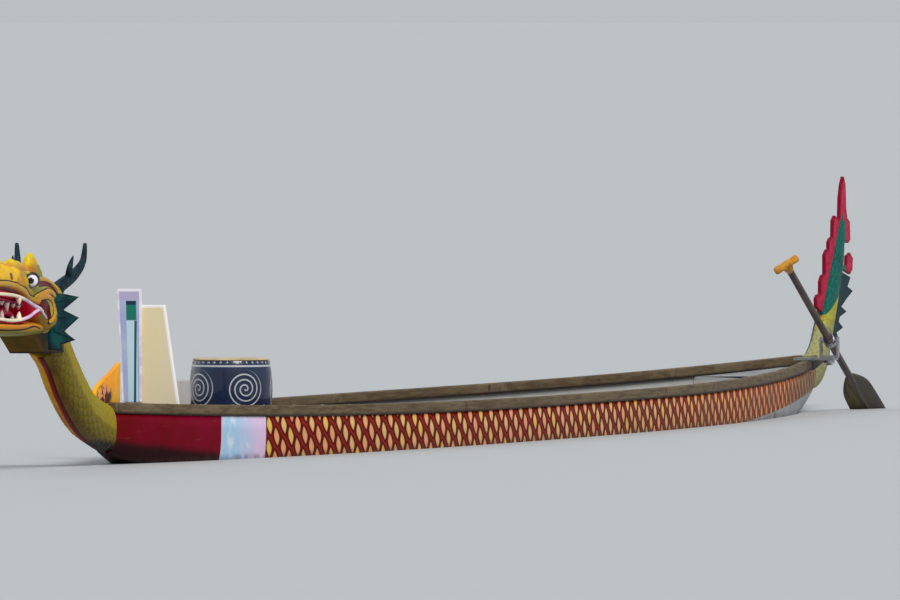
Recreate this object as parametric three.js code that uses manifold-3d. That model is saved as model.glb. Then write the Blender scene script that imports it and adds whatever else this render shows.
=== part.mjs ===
// A twenty-seat racing dragon boat: a moulded hull with wooden rails, benches and decks, a carved
// head and tail, a drummer's seat and drum, and a steering oar in a swivelling oarlock.
// Millimetres. +X is the bow, +Y is port, +Z is up, and z = 0 is the water at the boat's middle.
import * as THREE from 'three';
import { mergeVertices } from 'three/addons/utils/BufferGeometryUtils.js';
import Module from 'manifold-3d';

const wasm = await Module();
wasm.setup();

// Driving dimensions of the hull
const HULL_LENGTH = 12490;
const HALF_LENGTH = HULL_LENGTH / 2;
const HALF_BEAM = 560;
const END_HALF_BEAM = 48;
const WIDEST_X = 175;
const PLAN_POWER = 2.38;
const SECTION_POWER = 4;
const SECTION_STEPS = 16;
const MIDSHIP_SHEER = 205;
const SHEER_RISE = 70;
const DRAFT = 235;
const BOW_KEEL_Z = 50;
const STERN_KEEL_Z = 100;
const SHELL = 12;
const GAP = 0.3;
const STATIONS = [
  -6245, -6120, -5950, -5650, -5250, -4700, -4000, -3100, -2100, -1000,
  175, 1200, 2200, 3100, 3900, 4600, 5150, 5600, 5900, 6110, 6245,
];
const NOSE_BLOCK = 240;

// Rails, decks, benches and ribs
const RAIL_HEIGHT = 50;
const RAIL_OVERHANG = 8;
const RAIL_INWARD = 30;
const DECK_THICKNESS = 18;
const BOW_DECK_END = 4960;
const STERN_DECK_END = -4950;
const BULKHEAD = 14;
const ROWS = 10;
const ROW_PITCH = 780;
const FIRST_BENCH_X = 3700;
const BENCH_WIDTH = 180;
const BENCH_THICKNESS = 22;
const BENCH_DROP = 120;
const RIB_WIDTH = 34;
const RIB_DEPTH = 30;
const KEELSON_HALF_WIDTH = 95;
const KEELSON_THICKNESS = 18;
const KEELSON_ENDS = [-4930, 4930];
const JOINT_ROWS = [9, 6, 3, 0];
const STRINGER_Y = [228, 262];
const STRINGER_DEPTH = 24;
const FOOT_BAR_RADIUS = 15;
const FOOT_BAR_FORWARD = 370;
const FOOT_BAR_RISE = 26;
const FOOT_BAR_CLEAR = 2;

// Materials, with the colours of the painted and varnished surfaces
const paint = (color, roughness = 0.4, metalness = 0) =>
  new THREE.MeshStandardMaterial({ color, roughness, metalness });
const HULL_PAINT = paint(0x8c1424, 0.35);
const RAIL_WOOD = paint(0x6e5a44, 0.7);
const BENCH_WOOD = paint(0xb08a55, 0.6);
const DECK_PAINT = paint(0x8a8d90, 0.6);
const CREAM_PANEL = paint(0xd8c9a4, 0.5);
const LANE_PANEL = paint(0xb9c6dc, 0.4);
const SEAT_GREY = paint(0x9a958f, 0.6);
const DRUM_BLUE = paint(0x1c2740, 0.5);
const DRUM_SKIN = paint(0xdccfae, 0.7);
const NECK_GREEN = paint(0x7a6d1f, 0.45);
const FIN_ORANGE = paint(0xd08a25, 0.5);
const HEAD_YELLOW = paint(0xc99a2a, 0.4);
const JAW_ORANGE = paint(0xb9782a, 0.4);
const MOUTH_RED = paint(0xa82045, 0.4);
const TOOTH_WHITE = paint(0xe4dce6, 0.35);
const EYE_WHITE = paint(0xf2f0ea, 0.2);
const ANTLER_SLATE = paint(0x22353f, 0.45);
const FRILL_TEAL = paint(0x1f5a50, 0.5);
const TAIL_GREEN = paint(0x2f5c46, 0.5);
const TAIL_RED = paint(0xa33038, 0.5);
const STEEL = paint(0x9aa0a6, 0.35, 0.9);
const SHAFT_DARK = paint(0x4c4548, 0.5);
const BLADE_WOOD = paint(0x4a4032, 0.55);
const GRIP_WOOD = paint(0xb9803f, 0.5);

const boat = new THREE.Group();

// Geometry helpers: a skin over rings of points, and joining and cutting of closed meshes
function plain(geometry) {
  const bare = geometry.clone();
  bare.deleteAttribute('normal');
  bare.deleteAttribute('uv');
  return mergeVertices(bare, 1e-4);
}

function outward(geometry) {
  const p = geometry.attributes.position;
  const index = geometry.index.array;
  const [a, b, c] = [new THREE.Vector3(), new THREE.Vector3(), new THREE.Vector3()];
  let volume = 0;
  for (let i = 0; i < index.length; i += 3) {
    a.fromBufferAttribute(p, index[i]);
    b.fromBufferAttribute(p, index[i + 1]);
    c.fromBufferAttribute(p, index[i + 2]);
    volume += a.dot(b.cross(c));
  }
  if (volume < 0) {
    for (let i = 0; i < index.length; i += 3) {
      [index[i], index[i + 1]] = [index[i + 1], index[i]];
    }
  }
  return geometry;
}

function skin(rings) {
  const count = rings[0].length;
  const positions = rings.flat(2);
  const index = [];
  for (let r = 0; r + 1 < rings.length; r += 1) {
    for (let i = 0; i < count; i += 1) {
      const j = (i + 1) % count;
      const [a, b, c, d] = [r * count + i, r * count + j, (r + 1) * count + j, (r + 1) * count + i];
      index.push(a, b, c, a, c, d);
    }
  }
  for (const [r, turn] of [[0, 1], [rings.length - 1, 0]]) {
    const hub = positions.length / 3;
    for (const k of [0, 1, 2]) {
      positions.push(rings[r].reduce((sum, point) => sum + point[k], 0) / count);
    }
    for (let i = 0; i < count; i += 1) {
      const pair = [r * count + i, r * count + ((i + 1) % count)];
      index.push(hub, pair[turn], pair[1 - turn]);
    }
  }
  const geometry = new THREE.BufferGeometry();
  geometry.setAttribute('position', new THREE.Float32BufferAttribute(positions, 3));
  geometry.setIndex(index);
  return outward(mergeVertices(geometry, 1e-4));
}

function solid(geometry) {
  const merged = outward(plain(geometry));
  return new wasm.Manifold(new wasm.Mesh({
    numProp: 3,
    vertProperties: new Float32Array(merged.attributes.position.array),
    triVerts: new Uint32Array(merged.index.array),
  }));
}

function surface(manifold) {
  const mesh = manifold.getMesh();
  const geometry = new THREE.BufferGeometry();
  geometry.setAttribute('position', new THREE.BufferAttribute(new Float32Array(mesh.vertProperties), 3));
  geometry.setIndex(Array.from(mesh.triVerts));
  return geometry;
}

function add(name, geometry, material) {
  const drawn = geometry.index ? geometry.toNonIndexed() : geometry.clone();
  drawn.computeVertexNormals();
  const mesh = new THREE.Mesh(drawn, material);
  mesh.name = name;
  boat.add(mesh);
}

function block(x0, x1, y0, y1, z0, z1) {
  const box = new THREE.BoxGeometry(x1 - x0, y1 - y0, z1 - z0);
  return box.translate((x0 + x1) / 2, (y0 + y1) / 2, (z0 + z1) / 2);
}

// A plate cut from an outline in the x-z plane, with its faces at y0 and y1
function plate(outline, y0, y1) {
  const shape = new THREE.Shape(outline.map(([x, z]) => new THREE.Vector2(x, z)));
  const sheet = new THREE.ExtrudeGeometry(shape, { depth: y1 - y0, bevelEnabled: false });
  return sheet.rotateX(Math.PI / 2).translate(0, y1, 0);
}

function mirrored(geometry) {
  return outward(plain(geometry).scale(1, -1, 1));
}

// Hull form: half-beam, rim and keel at each station, straight in between
function halfBeam(x) {
  const reach = x > WIDEST_X ? HALF_LENGTH - WIDEST_X : HALF_LENGTH + WIDEST_X;
  const share = Math.min(1, Math.abs(x - WIDEST_X) / reach);
  return END_HALF_BEAM + (HALF_BEAM - END_HALF_BEAM) * (1 - share ** PLAN_POWER);
}

function sheer(x) {
  return MIDSHIP_SHEER + SHEER_RISE * (Math.abs(x) / HALF_LENGTH) ** 3;
}

function keel(x) {
  const end = x > 0 ? BOW_KEEL_Z : STERN_KEEL_Z;
  return -DRAFT + (DRAFT + end) * (Math.abs(x) / HALF_LENGTH) ** 4;
}

const formAt = (x) => ({ beam: halfBeam(x), rim: sheer(x) - RAIL_HEIGHT, keel: keel(x) });
const STATION_FORMS = STATIONS.map(formAt);

function along(x) {
  const beyond = STATIONS.findIndex((station) => station > x);
  const i = beyond < 0 ? STATIONS.length - 2 : Math.max(0, beyond - 1);
  const share = (x - STATIONS[i]) / (STATIONS[i + 1] - STATIONS[i]);
  const [a, b] = [STATION_FORMS[i], STATION_FORMS[i + 1]];
  const mix = (key) => a[key] + (b[key] - a[key]) * share;
  return { beam: mix('beam'), rim: mix('rim'), keel: mix('keel') };
}

// One hull section, offset inward, from the port rim round the keel to the starboard rim
function hullSection(x, inset) {
  const form = along(x);
  const points = [];
  for (let i = 0; i <= SECTION_STEPS; i += 1) {
    const angle = Math.PI * i / SECTION_STEPS;
    const across = Math.sign(Math.cos(angle)) * Math.abs(Math.cos(angle)) ** (2 / SECTION_POWER);
    const down = Math.sin(angle) ** (2 / SECTION_POWER);
    points.push([
      x,
      i * 2 === SECTION_STEPS ? 0 : across * (form.beam - inset),
      form.rim - down * (form.rim - form.keel - inset),
    ]);
  }
  return points;
}

const CAVITY_TOP = 600;

function cavity(inset) {
  const ends = [-HALF_LENGTH + NOSE_BLOCK, HALF_LENGTH - NOSE_BLOCK];
  const xs = [ends[0], ...STATIONS.filter((x) => x > ends[0] + 1 && x < ends[1] - 1), ends[1]];
  return solid(skin(xs.map((x) => {
    const points = hullSection(x, inset);
    const half = points[0][1];
    return [[x, half, CAVITY_TOP], ...points, [x, -half, CAVITY_TOP]];
  })));
}

function surfaceZ(x, y, inset) {
  const form = along(x);
  const share = (Math.abs(y) / (form.beam - inset)) ** SECTION_POWER;
  return form.rim - (form.rim - form.keel - inset) * (1 - share) ** (1 / SECTION_POWER);
}

const shellCavity = cavity(SHELL);
const fitCavity = cavity(SHELL + GAP);
const ribCavity = cavity(SHELL + GAP + RIB_DEPTH);
const floorCavity = cavity(SHELL + 2 * GAP + RIB_DEPTH);
const keelsonCavity = cavity(SHELL + 2 * GAP + RIB_DEPTH + KEELSON_THICKNESS);
const stringerCavity = cavity(SHELL + 2 * GAP + RIB_DEPTH + STRINGER_DEPTH);

// The moulded shell in five lengths, which butt under four of the benches
const jointXs = JOINT_ROWS.map((row) => FIRST_BENCH_X - row * ROW_PITCH);

function cutLengths(form, names, xs, finish) {
  names.forEach((name, index) => {
    const length = solid(block(
      xs[index] + GAP / 2, xs[index + 1] - GAP / 2, -HALF_BEAM - 1, HALF_BEAM + 1, -DRAFT - 1, CAVITY_TOP,
    ));
    add(name, surface(form.intersect(length)), finish);
  });
}

const hullBlank = solid(skin(STATIONS.map((x) => hullSection(x, 0))));
cutLengths(
  hullBlank.subtract(shellCavity), ['hull_stern', 'hull_aft', 'hull_middle', 'hull_fore', 'hull_bow'],
  [-HALF_LENGTH - 1, ...jointXs, HALF_LENGTH + 1], HULL_PAINT,
);

// Cap rails along both rims
function rail(side) {
  return skin(STATIONS.map((x) => {
    const form = along(x);
    const outer = side * (form.beam + RAIL_OVERHANG);
    const inner = side * (form.beam - RAIL_INWARD);
    const [low, high] = [form.rim + GAP, form.rim + RAIL_HEIGHT];
    return [[x, outer, low], [x, outer, high], [x, inner, high], [x, inner, low]];
  }));
}

add('rail_port', rail(1), RAIL_WOOD);
add('rail_starboard', rail(-1), RAIL_WOOD);

// Flush decks at both ends, each on a bulkhead
function deck(x0, x1) {
  const xs = [x0, ...STATIONS.filter((x) => x > x0 + 1 && x < x1 - 1), x1];
  const sheet = solid(skin(xs.map((x) => {
    const [low, high] = [along(x).rim - GAP - DECK_THICKNESS, along(x).rim - GAP];
    return [[x, HALF_BEAM, low], [x, HALF_BEAM, high], [x, -HALF_BEAM, high], [x, -HALF_BEAM, low]];
  })));
  return surface(sheet.intersect(fitCavity));
}

const DECK_TIP = HALF_LENGTH - NOSE_BLOCK - GAP;
add('bow_deck', deck(BOW_DECK_END, DECK_TIP), DECK_PAINT);
add('stern_deck', deck(-DECK_TIP, STERN_DECK_END), DECK_PAINT);

function bulkhead(x0) {
  const top = Math.min(along(x0).rim, along(x0 + BULKHEAD).rim) - 2 * GAP - DECK_THICKNESS;
  const sheet = solid(block(x0, x0 + BULKHEAD, -HALF_BEAM, HALF_BEAM, -DRAFT, top));
  return surface(sheet.intersect(fitCavity));
}

add('bow_bulkhead', bulkhead(BOW_DECK_END), DECK_PAINT);
add('stern_bulkhead', bulkhead(STERN_DECK_END - BULKHEAD), DECK_PAINT);

// Benches between the hull sides, with a U-shaped rib under those where two lengths meet
for (let row = 0; row < ROWS; row += 1) {
  const x = FIRST_BENCH_X - row * ROW_PITCH;
  const number = String(row + 1).padStart(2, '0');
  const top = sheer(x) - BENCH_DROP;
  const benchBlank = solid(block(
    x - BENCH_WIDTH / 2, x + BENCH_WIDTH / 2, -HALF_BEAM, HALF_BEAM, top - BENCH_THICKNESS, top,
  ));
  add(`bench_${number}`, surface(benchBlank.intersect(fitCavity)), BENCH_WOOD);
  if (!JOINT_ROWS.includes(row)) continue;
  const ribTop = top - BENCH_THICKNESS - GAP;
  const ribBlank = solid(block(
    x - RIB_WIDTH / 2, x + RIB_WIDTH / 2, -HALF_BEAM, HALF_BEAM, -DRAFT, ribTop,
  ));
  add(`rib_${number}`, surface(ribBlank.intersect(fitCavity).subtract(ribCavity)), BENCH_WOOD);
}

// Keelson board along the middle, on the ribs, in three lengths that butt on the middle two
const keelsonBlank = solid(block(
  ...KEELSON_ENDS, -KEELSON_HALF_WIDTH, KEELSON_HALF_WIDTH, -DRAFT, MIDSHIP_SHEER,
));
const keelson = keelsonBlank.intersect(floorCavity).subtract(keelsonCavity);
const keelsonCuts = [KEELSON_ENDS[0] - 1, jointXs[1], jointXs[2], KEELSON_ENDS[1] + 1];
cutLengths(keelson, ['keelson_aft', 'keelson_middle', 'keelson_fore'], keelsonCuts, BENCH_WOOD);

// Foot-rest frame: two stringers on the ribs, with a bar in front of each bench
const lastBarX = FIRST_BENCH_X - (ROWS - 1) * ROW_PITCH + FOOT_BAR_FORWARD;
const firstBarX = FIRST_BENCH_X + FOOT_BAR_FORWARD;
let footFrame = null;
for (const side of [1, -1]) {
  const [near, far] = STRINGER_Y;
  const ys = side > 0 ? [near, far] : [-far, -near];
  const strip = solid(block(lastBarX - 480, firstBarX + 60, ...ys, -DRAFT, 60));
  const stringer = strip.intersect(floorCavity).subtract(stringerCavity);
  footFrame = footFrame ? footFrame.add(stringer) : stringer;
}
const BAR_Y = (STRINGER_Y[0] + STRINGER_Y[1]) / 2;
for (let row = 0; row < ROWS; row += 1) {
  const x = FIRST_BENCH_X - row * ROW_PITCH + FOOT_BAR_FORWARD;
  const keelsonTop = along(x).keel + SHELL + 2 * GAP + RIB_DEPTH + KEELSON_THICKNESS;
  const overKeelson = keelsonTop + FOOT_BAR_RADIUS + FOOT_BAR_CLEAR;
  const z = Math.max(surfaceZ(x, BAR_Y, SHELL + RIB_DEPTH) + FOOT_BAR_RISE, overKeelson);
  const bar = new THREE.CylinderGeometry(FOOT_BAR_RADIUS, FOOT_BAR_RADIUS, 2 * BAR_Y + 30, 10);
  footFrame = footFrame.add(solid(bar.translate(x, 0, z)));
}
add('footrest_frame', surface(footFrame), STEEL);

// Drummer's seat on the bow deck: box, leaning back and a taller narrow panel in front of it
const SEAT = { rear: 5190, front: 5470, halfWidth: 92, top: 355 };
const BACK = { x: 5476, thickness: 22, lowHalf: 132, topHalf: 73, top: 691, lean: 0.09 };
const LANE = { lowHalf: 45, topHalf: 56, y: -85, top: 762, thickness: 16, low: 262 };
const seatBase = along(SEAT.rear).rim;
const seatRise = along(SEAT.front).rim;
add('seat_box', skin([[SEAT.rear, seatBase], [SEAT.front, seatRise]].map(([x, z]) => [
  [x, SEAT.halfWidth, z], [x, SEAT.halfWidth, SEAT.top],
  [x, -SEAT.halfWidth, SEAT.top], [x, -SEAT.halfWidth, z],
])), SEAT_GREY);

function leaningPanel(x, thickness, low, high, corners) {
  return skin([0, thickness].map((depth) => corners.map(([y, level]) => {
    const z = level ? high : low;
    return [x + depth + (z - low) * BACK.lean, y, z];
  })));
}

const backLow = Math.max(along(BACK.x).rim, along(BACK.x + BACK.thickness).rim);
add('seat_back', leaningPanel(BACK.x, BACK.thickness, backLow, BACK.top, [
  [BACK.lowHalf, 0], [BACK.topHalf, 1], [-BACK.topHalf, 1], [-BACK.lowHalf, 0],
]), CREAM_PANEL);
const laneX = BACK.x + BACK.thickness + GAP + (LANE.low - backLow) * BACK.lean;
add('lane_board', leaningPanel(laneX, LANE.thickness, LANE.low, LANE.top, [
  [LANE.y + LANE.lowHalf, 0], [LANE.y + LANE.topHalf, 1],
  [LANE.y - LANE.topHalf, 1], [LANE.y - LANE.lowHalf, 0],
]), LANE_PANEL);

// Drum on a cross shelf between the seat and the first row
const DRUM = { x: 4220, radius: 168, belly: 186, height: 255, skin: 8, shelfHalf: 150, shelf: 20 };
const shelfTop = sheer(DRUM.x) - 55;
const shelfBlank = solid(block(
  DRUM.x - DRUM.shelfHalf, DRUM.x + DRUM.shelfHalf, -HALF_BEAM, HALF_BEAM,
  shelfTop - DRUM.shelf, shelfTop,
));
add('drum_shelf', surface(shelfBlank.intersect(fitCavity)), BENCH_WOOD);

function lathe(profile, steps, x, y, z) {
  const points = profile.map(([r, h]) => new THREE.Vector2(r, h));
  const turned = new THREE.LatheGeometry(points, steps);
  return turned.rotateX(Math.PI / 2).translate(x, y, z);
}

add('drum_shell', outward(plain(lathe([
  [0, 0], [DRUM.radius, 0], [DRUM.belly, DRUM.height * 0.3], [DRUM.belly, DRUM.height * 0.65],
  [DRUM.radius, DRUM.height], [0, DRUM.height],
], 24, DRUM.x, 0, shelfTop + GAP))), DRUM_BLUE);
add('drum_skin', outward(plain(lathe([
  [0, 0], [DRUM.radius + 4, 0], [DRUM.radius, DRUM.skin], [0, DRUM.skin],
], 24, DRUM.x, 0, shelfTop + DRUM.height + 2 * GAP))), DRUM_SKIN);

// A body along a bent centreline in the x-z plane. Columns: distance from the stem or stern,
// height, half depth across the line, half width and the line's slope in degrees
function trunk(rows, originX, direction, corner) {
  return skin(rows.map(([distance, z, depth, width, slope]) => {
    const tilt = THREE.MathUtils.degToRad(slope);
    return corner.map(([u, v]) => [
      originX + direction * (distance - Math.sin(tilt) * v * depth),
      u * width,
      z + Math.cos(tilt) * v * depth,
    ]);
  }));
}

function roundSection(steps, power) {
  return Array.from({ length: steps }, (_, i) => {
    const angle = 2 * Math.PI * (i + 0.5) / steps;
    const bend = (value) => Math.sign(value) * Math.abs(value) ** (2 / power);
    return [bend(Math.cos(angle)), bend(Math.sin(angle))];
  });
}

const NECK_ROWS = [
  [GAP, 161, 101, 54, 0],
  [150, 188, 100, 57, 12],
  [350, 238, 101, 63, 22],
  [510, 314, 108, 66, 33],
  [668, 414, 112, 66, 40],
  [805, 517, 106, 67, 37],
  [950, 587, 100, 74, 16],
];
add('neck', trunk(NECK_ROWS, HALF_LENGTH, 1, roundSection(12, 2.6)), NECK_GREEN);

// Fin on the centre of the bow deck, which leans on the neck's root
const FIN_REAR = 6020;
const FIN_HALF_THICKNESS = 9;
const FIN_FOOT_XS = [6240, 6110, FIN_REAR];
const fin = solid(plate([
  [FIN_REAR, 448], [6126, 415], [6250, 382], [6374, 348], [6412, 308], [6388, 262],
  ...FIN_FOOT_XS.map((x) => [x, along(x).rim + GAP]),
], -FIN_HALF_THICKNESS, FIN_HALF_THICKNESS));

// Carved head. Columns: distance from the stem, underside, top, half width
const HEAD_ROWS = [
  [960, 640, 792, 96],
  [1060, 600, 834, 128],
  [1200, 590, 860, 142],
  [1340, 600, 868, 145],
  [1440, 664, 872, 140],
  [1560, 730, 876, 130],
  [1720, 744, 890, 120],
  [1880, 760, 896, 114],
  [1980, 776, 868, 98],
  [2030, 792, 838, 62],
];
const JAW_ROWS = [
  [1342, 592, 596, 118],
  [1400, 590, 640, 132],
  [1560, 588, 652, 128],
  [1760, 592, 656, 112],
  [1900, 602, 664, 92],
  [1960, 622, 668, 60],
];
const TONGUE_ROWS = [
  [1490, 664, 678, 38],
  [1600, 666, 712, 50],
  [1760, 668, 724, 48],
  [1860, 676, 720, 34],
  [1900, 690, 706, 14],
];

function carved(rows, power) {
  return skin(rows.map(([distance, low, high, width]) => roundSection(12, power).map(([u, v]) => [
    HALF_LENGTH + distance, u * width, (low + high) / 2 + v * (high - low) / 2,
  ])));
}

// Room round a carved form: the form with its rows grown by the gap, its end rows pushed outward too
const ROOM = 0.8;
const endPush = (i, rows) => (i === rows.length - 1 ? ROOM : i === 0 ? -ROOM : 0);
const grown = (rows) => rows.map(([d, low, high, width], i) => [
  d + endPush(i, rows), low - ROOM, high + ROOM, width + ROOM,
]);
const grownTrunk = (rows) => rows.map(([d, z, depth, width, slope], i) => [
  d + endPush(i, rows), z, depth + ROOM, width + ROOM, slope,
]);
const neckRoom = solid(trunk(grownTrunk(NECK_ROWS), HALF_LENGTH, 1, roundSection(12, 2.6)));
add('neck_fin', surface(fin.subtract(neckRoom)), FIN_ORANGE);
const headRoom = solid(carved(grown(HEAD_ROWS), 2.8));
const jawRoom = solid(carved(grown(JAW_ROWS), 3));

const EYE = { forward: 1560, y: 134, z: 828, radius: 27 };
const ball = (radius, x, y, z) => new THREE.SphereGeometry(radius, 12, 8).translate(x, y, z);
let skull = solid(carved(HEAD_ROWS, 2.8)).subtract(neckRoom);
for (const [name, side] of [['eye_port', 1], ['eye_starboard', -1]]) {
  const place = [HALF_LENGTH + EYE.forward, side * EYE.y, EYE.z];
  skull = skull.subtract(solid(ball(EYE.radius + GAP, ...place)));
  add(name, ball(EYE.radius, ...place), EYE_WHITE);
}
add('head_skull', surface(skull), HEAD_YELLOW);
add('head_jaw', surface(solid(carved(JAW_ROWS, 3)).subtract(headRoom)), JAW_ORANGE);
add('tongue', carved(TONGUE_ROWS, 2.2), MOUTH_RED);

// Teeth on a gum plate above and below. Columns: distance from the stem, length of the tooth
const UPPER_TEETH = [[1580, 16], [1650, 16], [1730, 40], [1800, 16], [1870, 16], [1935, 34]];
const LOWER_TEETH = [[1580, 14], [1650, 14], [1780, 36], [1850, 16], [1905, 26]];
const TOOTH = { radius: 15, sides: 6, root: 8, fromEdge: 30 };
const GUM = { thickness: 12, bed: 4 };

function valueAt(rows, distance, column) {
  const next = Math.max(1, rows.findIndex((row) => row[0] >= distance));
  const [a, b] = [rows[next - 1], rows[next]];
  return a[column] + (b[column] - a[column]) * (distance - a[0]) / (b[0] - a[0]);
}

// The direction is -1 for teeth that hang from the skull and 1 for teeth that stand on the jaw
function teeth(list, rows, column, direction, ends, room) {
  const face = (d) => valueAt(rows, d, column);
  const halfWidth = (d) => valueAt(rows, d, 3) * 0.72;
  let row = solid(skin([ends[0], ...list.map(([d]) => d), ends[1]].map((d) => {
    const [x, half] = [HALF_LENGTH + d, halfWidth(d)];
    const [root, tip] = [face(d) - direction * GUM.bed, face(d) + direction * GUM.thickness];
    return [[x, half, root], [x, half, tip], [x, -half, tip], [x, -half, root]];
  })));
  for (const [d, length] of list) {
    for (const side of [1, -1]) {
      const cone = new THREE.ConeGeometry(TOOTH.radius, length + TOOTH.root, TOOTH.sides);
      cone.rotateX(direction * Math.PI / 2);
      const z = face(d) + direction * (GUM.thickness + (length - TOOTH.root) / 2);
      cone.translate(HALF_LENGTH + d, side * (halfWidth(d) - TOOTH.fromEdge / 2), z);
      row = row.add(solid(cone));
    }
  }
  return row.subtract(room);
}

const tongueRoom = solid(carved(grown(TONGUE_ROWS), 2.2));
const upperTeeth = teeth(UPPER_TEETH, HEAD_ROWS, 1, -1, [1565, 1975], headRoom);
const lowerTeeth = teeth(LOWER_TEETH, JAW_ROWS, 2, 1, [1480, 1955], jawRoom);
add('teeth_upper', surface(upperTeeth), TOOTH_WHITE);
add('teeth_lower', surface(lowerTeeth.subtract(tongueRoom)), TOOTH_WHITE);

// Throat block that joins the neck to the head's underside
const THROAT_HALF_WIDTH = 76;
const throat = solid(plate([[880, 508], [1188, 508], [1378, 600], [1378, 640], [900, 640]].map(
  ([d, z]) => [HALF_LENGTH + d, z],
), -THROAT_HALF_WIDTH, THROAT_HALF_WIDTH));
add('throat_block', surface(throat.subtract(neckRoom).subtract(headRoom).subtract(jawRoom)), NECK_GREEN);

// Crest of rounded knobs along the middle of the head
const CREST = [
  [1000, 790], [1012, 880], [1034, 912], [1070, 930], [1146, 941], [1188, 928], [1208, 884], [1255, 884],
  [1310, 900], [1351, 912], [1400, 910], [1448, 918], [1496, 907], [1560, 890], [1640, 922], [1720, 916],
  [1790, 902], [1850, 914], [1905, 902], [1930, 870], [1930, 820],
];
const CREST_HALF_WIDTH = 28;
add('head_crest', surface(solid(plate(
  CREST.map(([d, z]) => [HALF_LENGTH + d, z]), -CREST_HALF_WIDTH, CREST_HALF_WIDTH,
)).subtract(headRoom)), HEAD_YELLOW);

// A tapering limb along a bent line. Columns: x, y, z, radius
function limb(rows, sides) {
  const points = rows.map(([x, y, z]) => new THREE.Vector3(x, y, z));
  return skin(points.map((point, i) => {
    const before = points[Math.max(0, i - 1)];
    const after = points[Math.min(points.length - 1, i + 1)];
    const line = after.clone().sub(before).normalize();
    const across = new THREE.Vector3(0, 1, 0).cross(line).normalize();
    const beside = line.clone().cross(across);
    return Array.from({ length: sides }, (_, k) => {
      const angle = 2 * Math.PI * k / sides;
      return point.clone().addScaledVector(across, Math.cos(angle) * rows[i][3])
        .addScaledVector(beside, Math.sin(angle) * rows[i][3]).toArray();
    });
  }));
}

const fromStem = (rows) => rows.map(([d, ...rest]) => [HALF_LENGTH + d, ...rest]);
const ANTLER_BEAM = fromStem([
  [1050, 84, 776, 30], [985, 102, 806, 28], [915, 122, 836, 25], [858, 138, 872, 20], [830, 148, 905, 15],
  [822, 152, 945, 12], [820, 154, 982, 8],
]);
const ANTLER_TINE = fromStem([
  [950, 118, 838, 17], [968, 128, 872, 14], [958, 132, 900, 10], [942, 136, 926, 4],
]);
const antler = solid(limb(ANTLER_BEAM, 8)).add(solid(limb(ANTLER_TINE, 8))).subtract(headRoom);
add('antler_port', surface(antler), ANTLER_SLATE);
add('antler_starboard', mirrored(surface(antler)), ANTLER_SLATE);

// Jagged frill behind each cheek, turned out towards the tips
const FRILL = [
  [1260, 770], [1180, 768], [1071, 752], [1174, 697], [1071, 662], [1170, 604], [1096, 566], [1190, 546],
  [1180, 520], [1262, 524], [1330, 560], [1330, 640],
];
const FRILL_THICKNESS = 20;
const FRILL_TURN = THREE.MathUtils.degToRad(24);
const FRILL_HINGE = { forward: 1270, y: 112 };
const frillPlate = plate(
  FRILL.map(([d, z]) => [d - FRILL_HINGE.forward, z]), 0, FRILL_THICKNESS,
).rotateZ(-FRILL_TURN).translate(HALF_LENGTH + FRILL_HINGE.forward, FRILL_HINGE.y, 0);
const frill = solid(frillPlate).subtract(headRoom).subtract(neckRoom).subtract(throat)
  .subtract(solid(block(HALF_LENGTH + 1262, HALF_LENGTH + 1400, 0, 300, 400, 900)));
add('frill_port', surface(frill), FRILL_TEAL);
add('frill_starboard', mirrored(surface(frill)), FRILL_TEAL);

// Tail. Columns: distance from the stern, height, half depth, half width, slope
const TAIL_ROWS = [
  [GAP, 186, 84, 44, 0],
  [130, 210, 92, 46, 16],
  [245, 276, 92, 44, 42],
  [318, 370, 80, 42, 54],
  [397, 475, 76, 40, 53],
  [467, 560, 70, 38, 52],
  [571, 695, 66, 33, 53],
  [622, 772, 62, 29, 58],
  [664, 852, 44, 22, 66],
  [690, 925, 27, 16, 70],
  [704, 978, 10, 9, 72],
];
const tailSection = roundSection(10, 2.4);
const tailRoom = solid(trunk(grownTrunk(TAIL_ROWS), -HALF_LENGTH, -1, tailSection));
add('tail_body', trunk(TAIL_ROWS, -HALF_LENGTH, -1, tailSection), TAIL_GREEN);

// Toothed fins round the tail, each cut to sit on its body. Columns: distance from the stern, height
const TAIL_FINS = [
  ['tail_fringe', TAIL_RED, 9, [
    [380, 460], [250, 492], [180, 512], [172, 556], [204, 574], [262, 580], [262, 642], [298, 670],
    [350, 678], [348, 772], [392, 798], [430, 802], [430, 836], [462, 854], [512, 864], [516, 944],
    [560, 968], [630, 944], [650, 966], [648, 1090], [676, 1134], [730, 1164], [786, 1130], [794, 1004],
    [806, 954], [856, 936], [868, 842], [826, 826], [650, 830], [571, 695], [467, 560],
  ]],
  ['tail_spikes', FRILL_TEAL, 9, [
    [330, 352], [526, 328], [632, 344], [588, 378], [722, 402], [632, 434], [650, 456], [798, 482],
    [686, 508], [800, 548], [924, 584], [812, 608], [872, 654], [760, 672], [600, 700], [467, 560],
  ]],
  ['tail_barb', TAIL_RED, 8, [
    [600, 714], [762, 686], [866, 668], [914, 690], [924, 750], [866, 778], [800, 762], [790, 712],
    [690, 724], [600, 742],
  ]],
];
for (const [name, material, half, outline] of TAIL_FINS) {
  const fin = solid(plate(outline.map(([d, z]) => [-HALF_LENGTH - d, z]), -half, half));
  add(name, surface(fin.subtract(tailRoom)), material);
}

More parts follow.
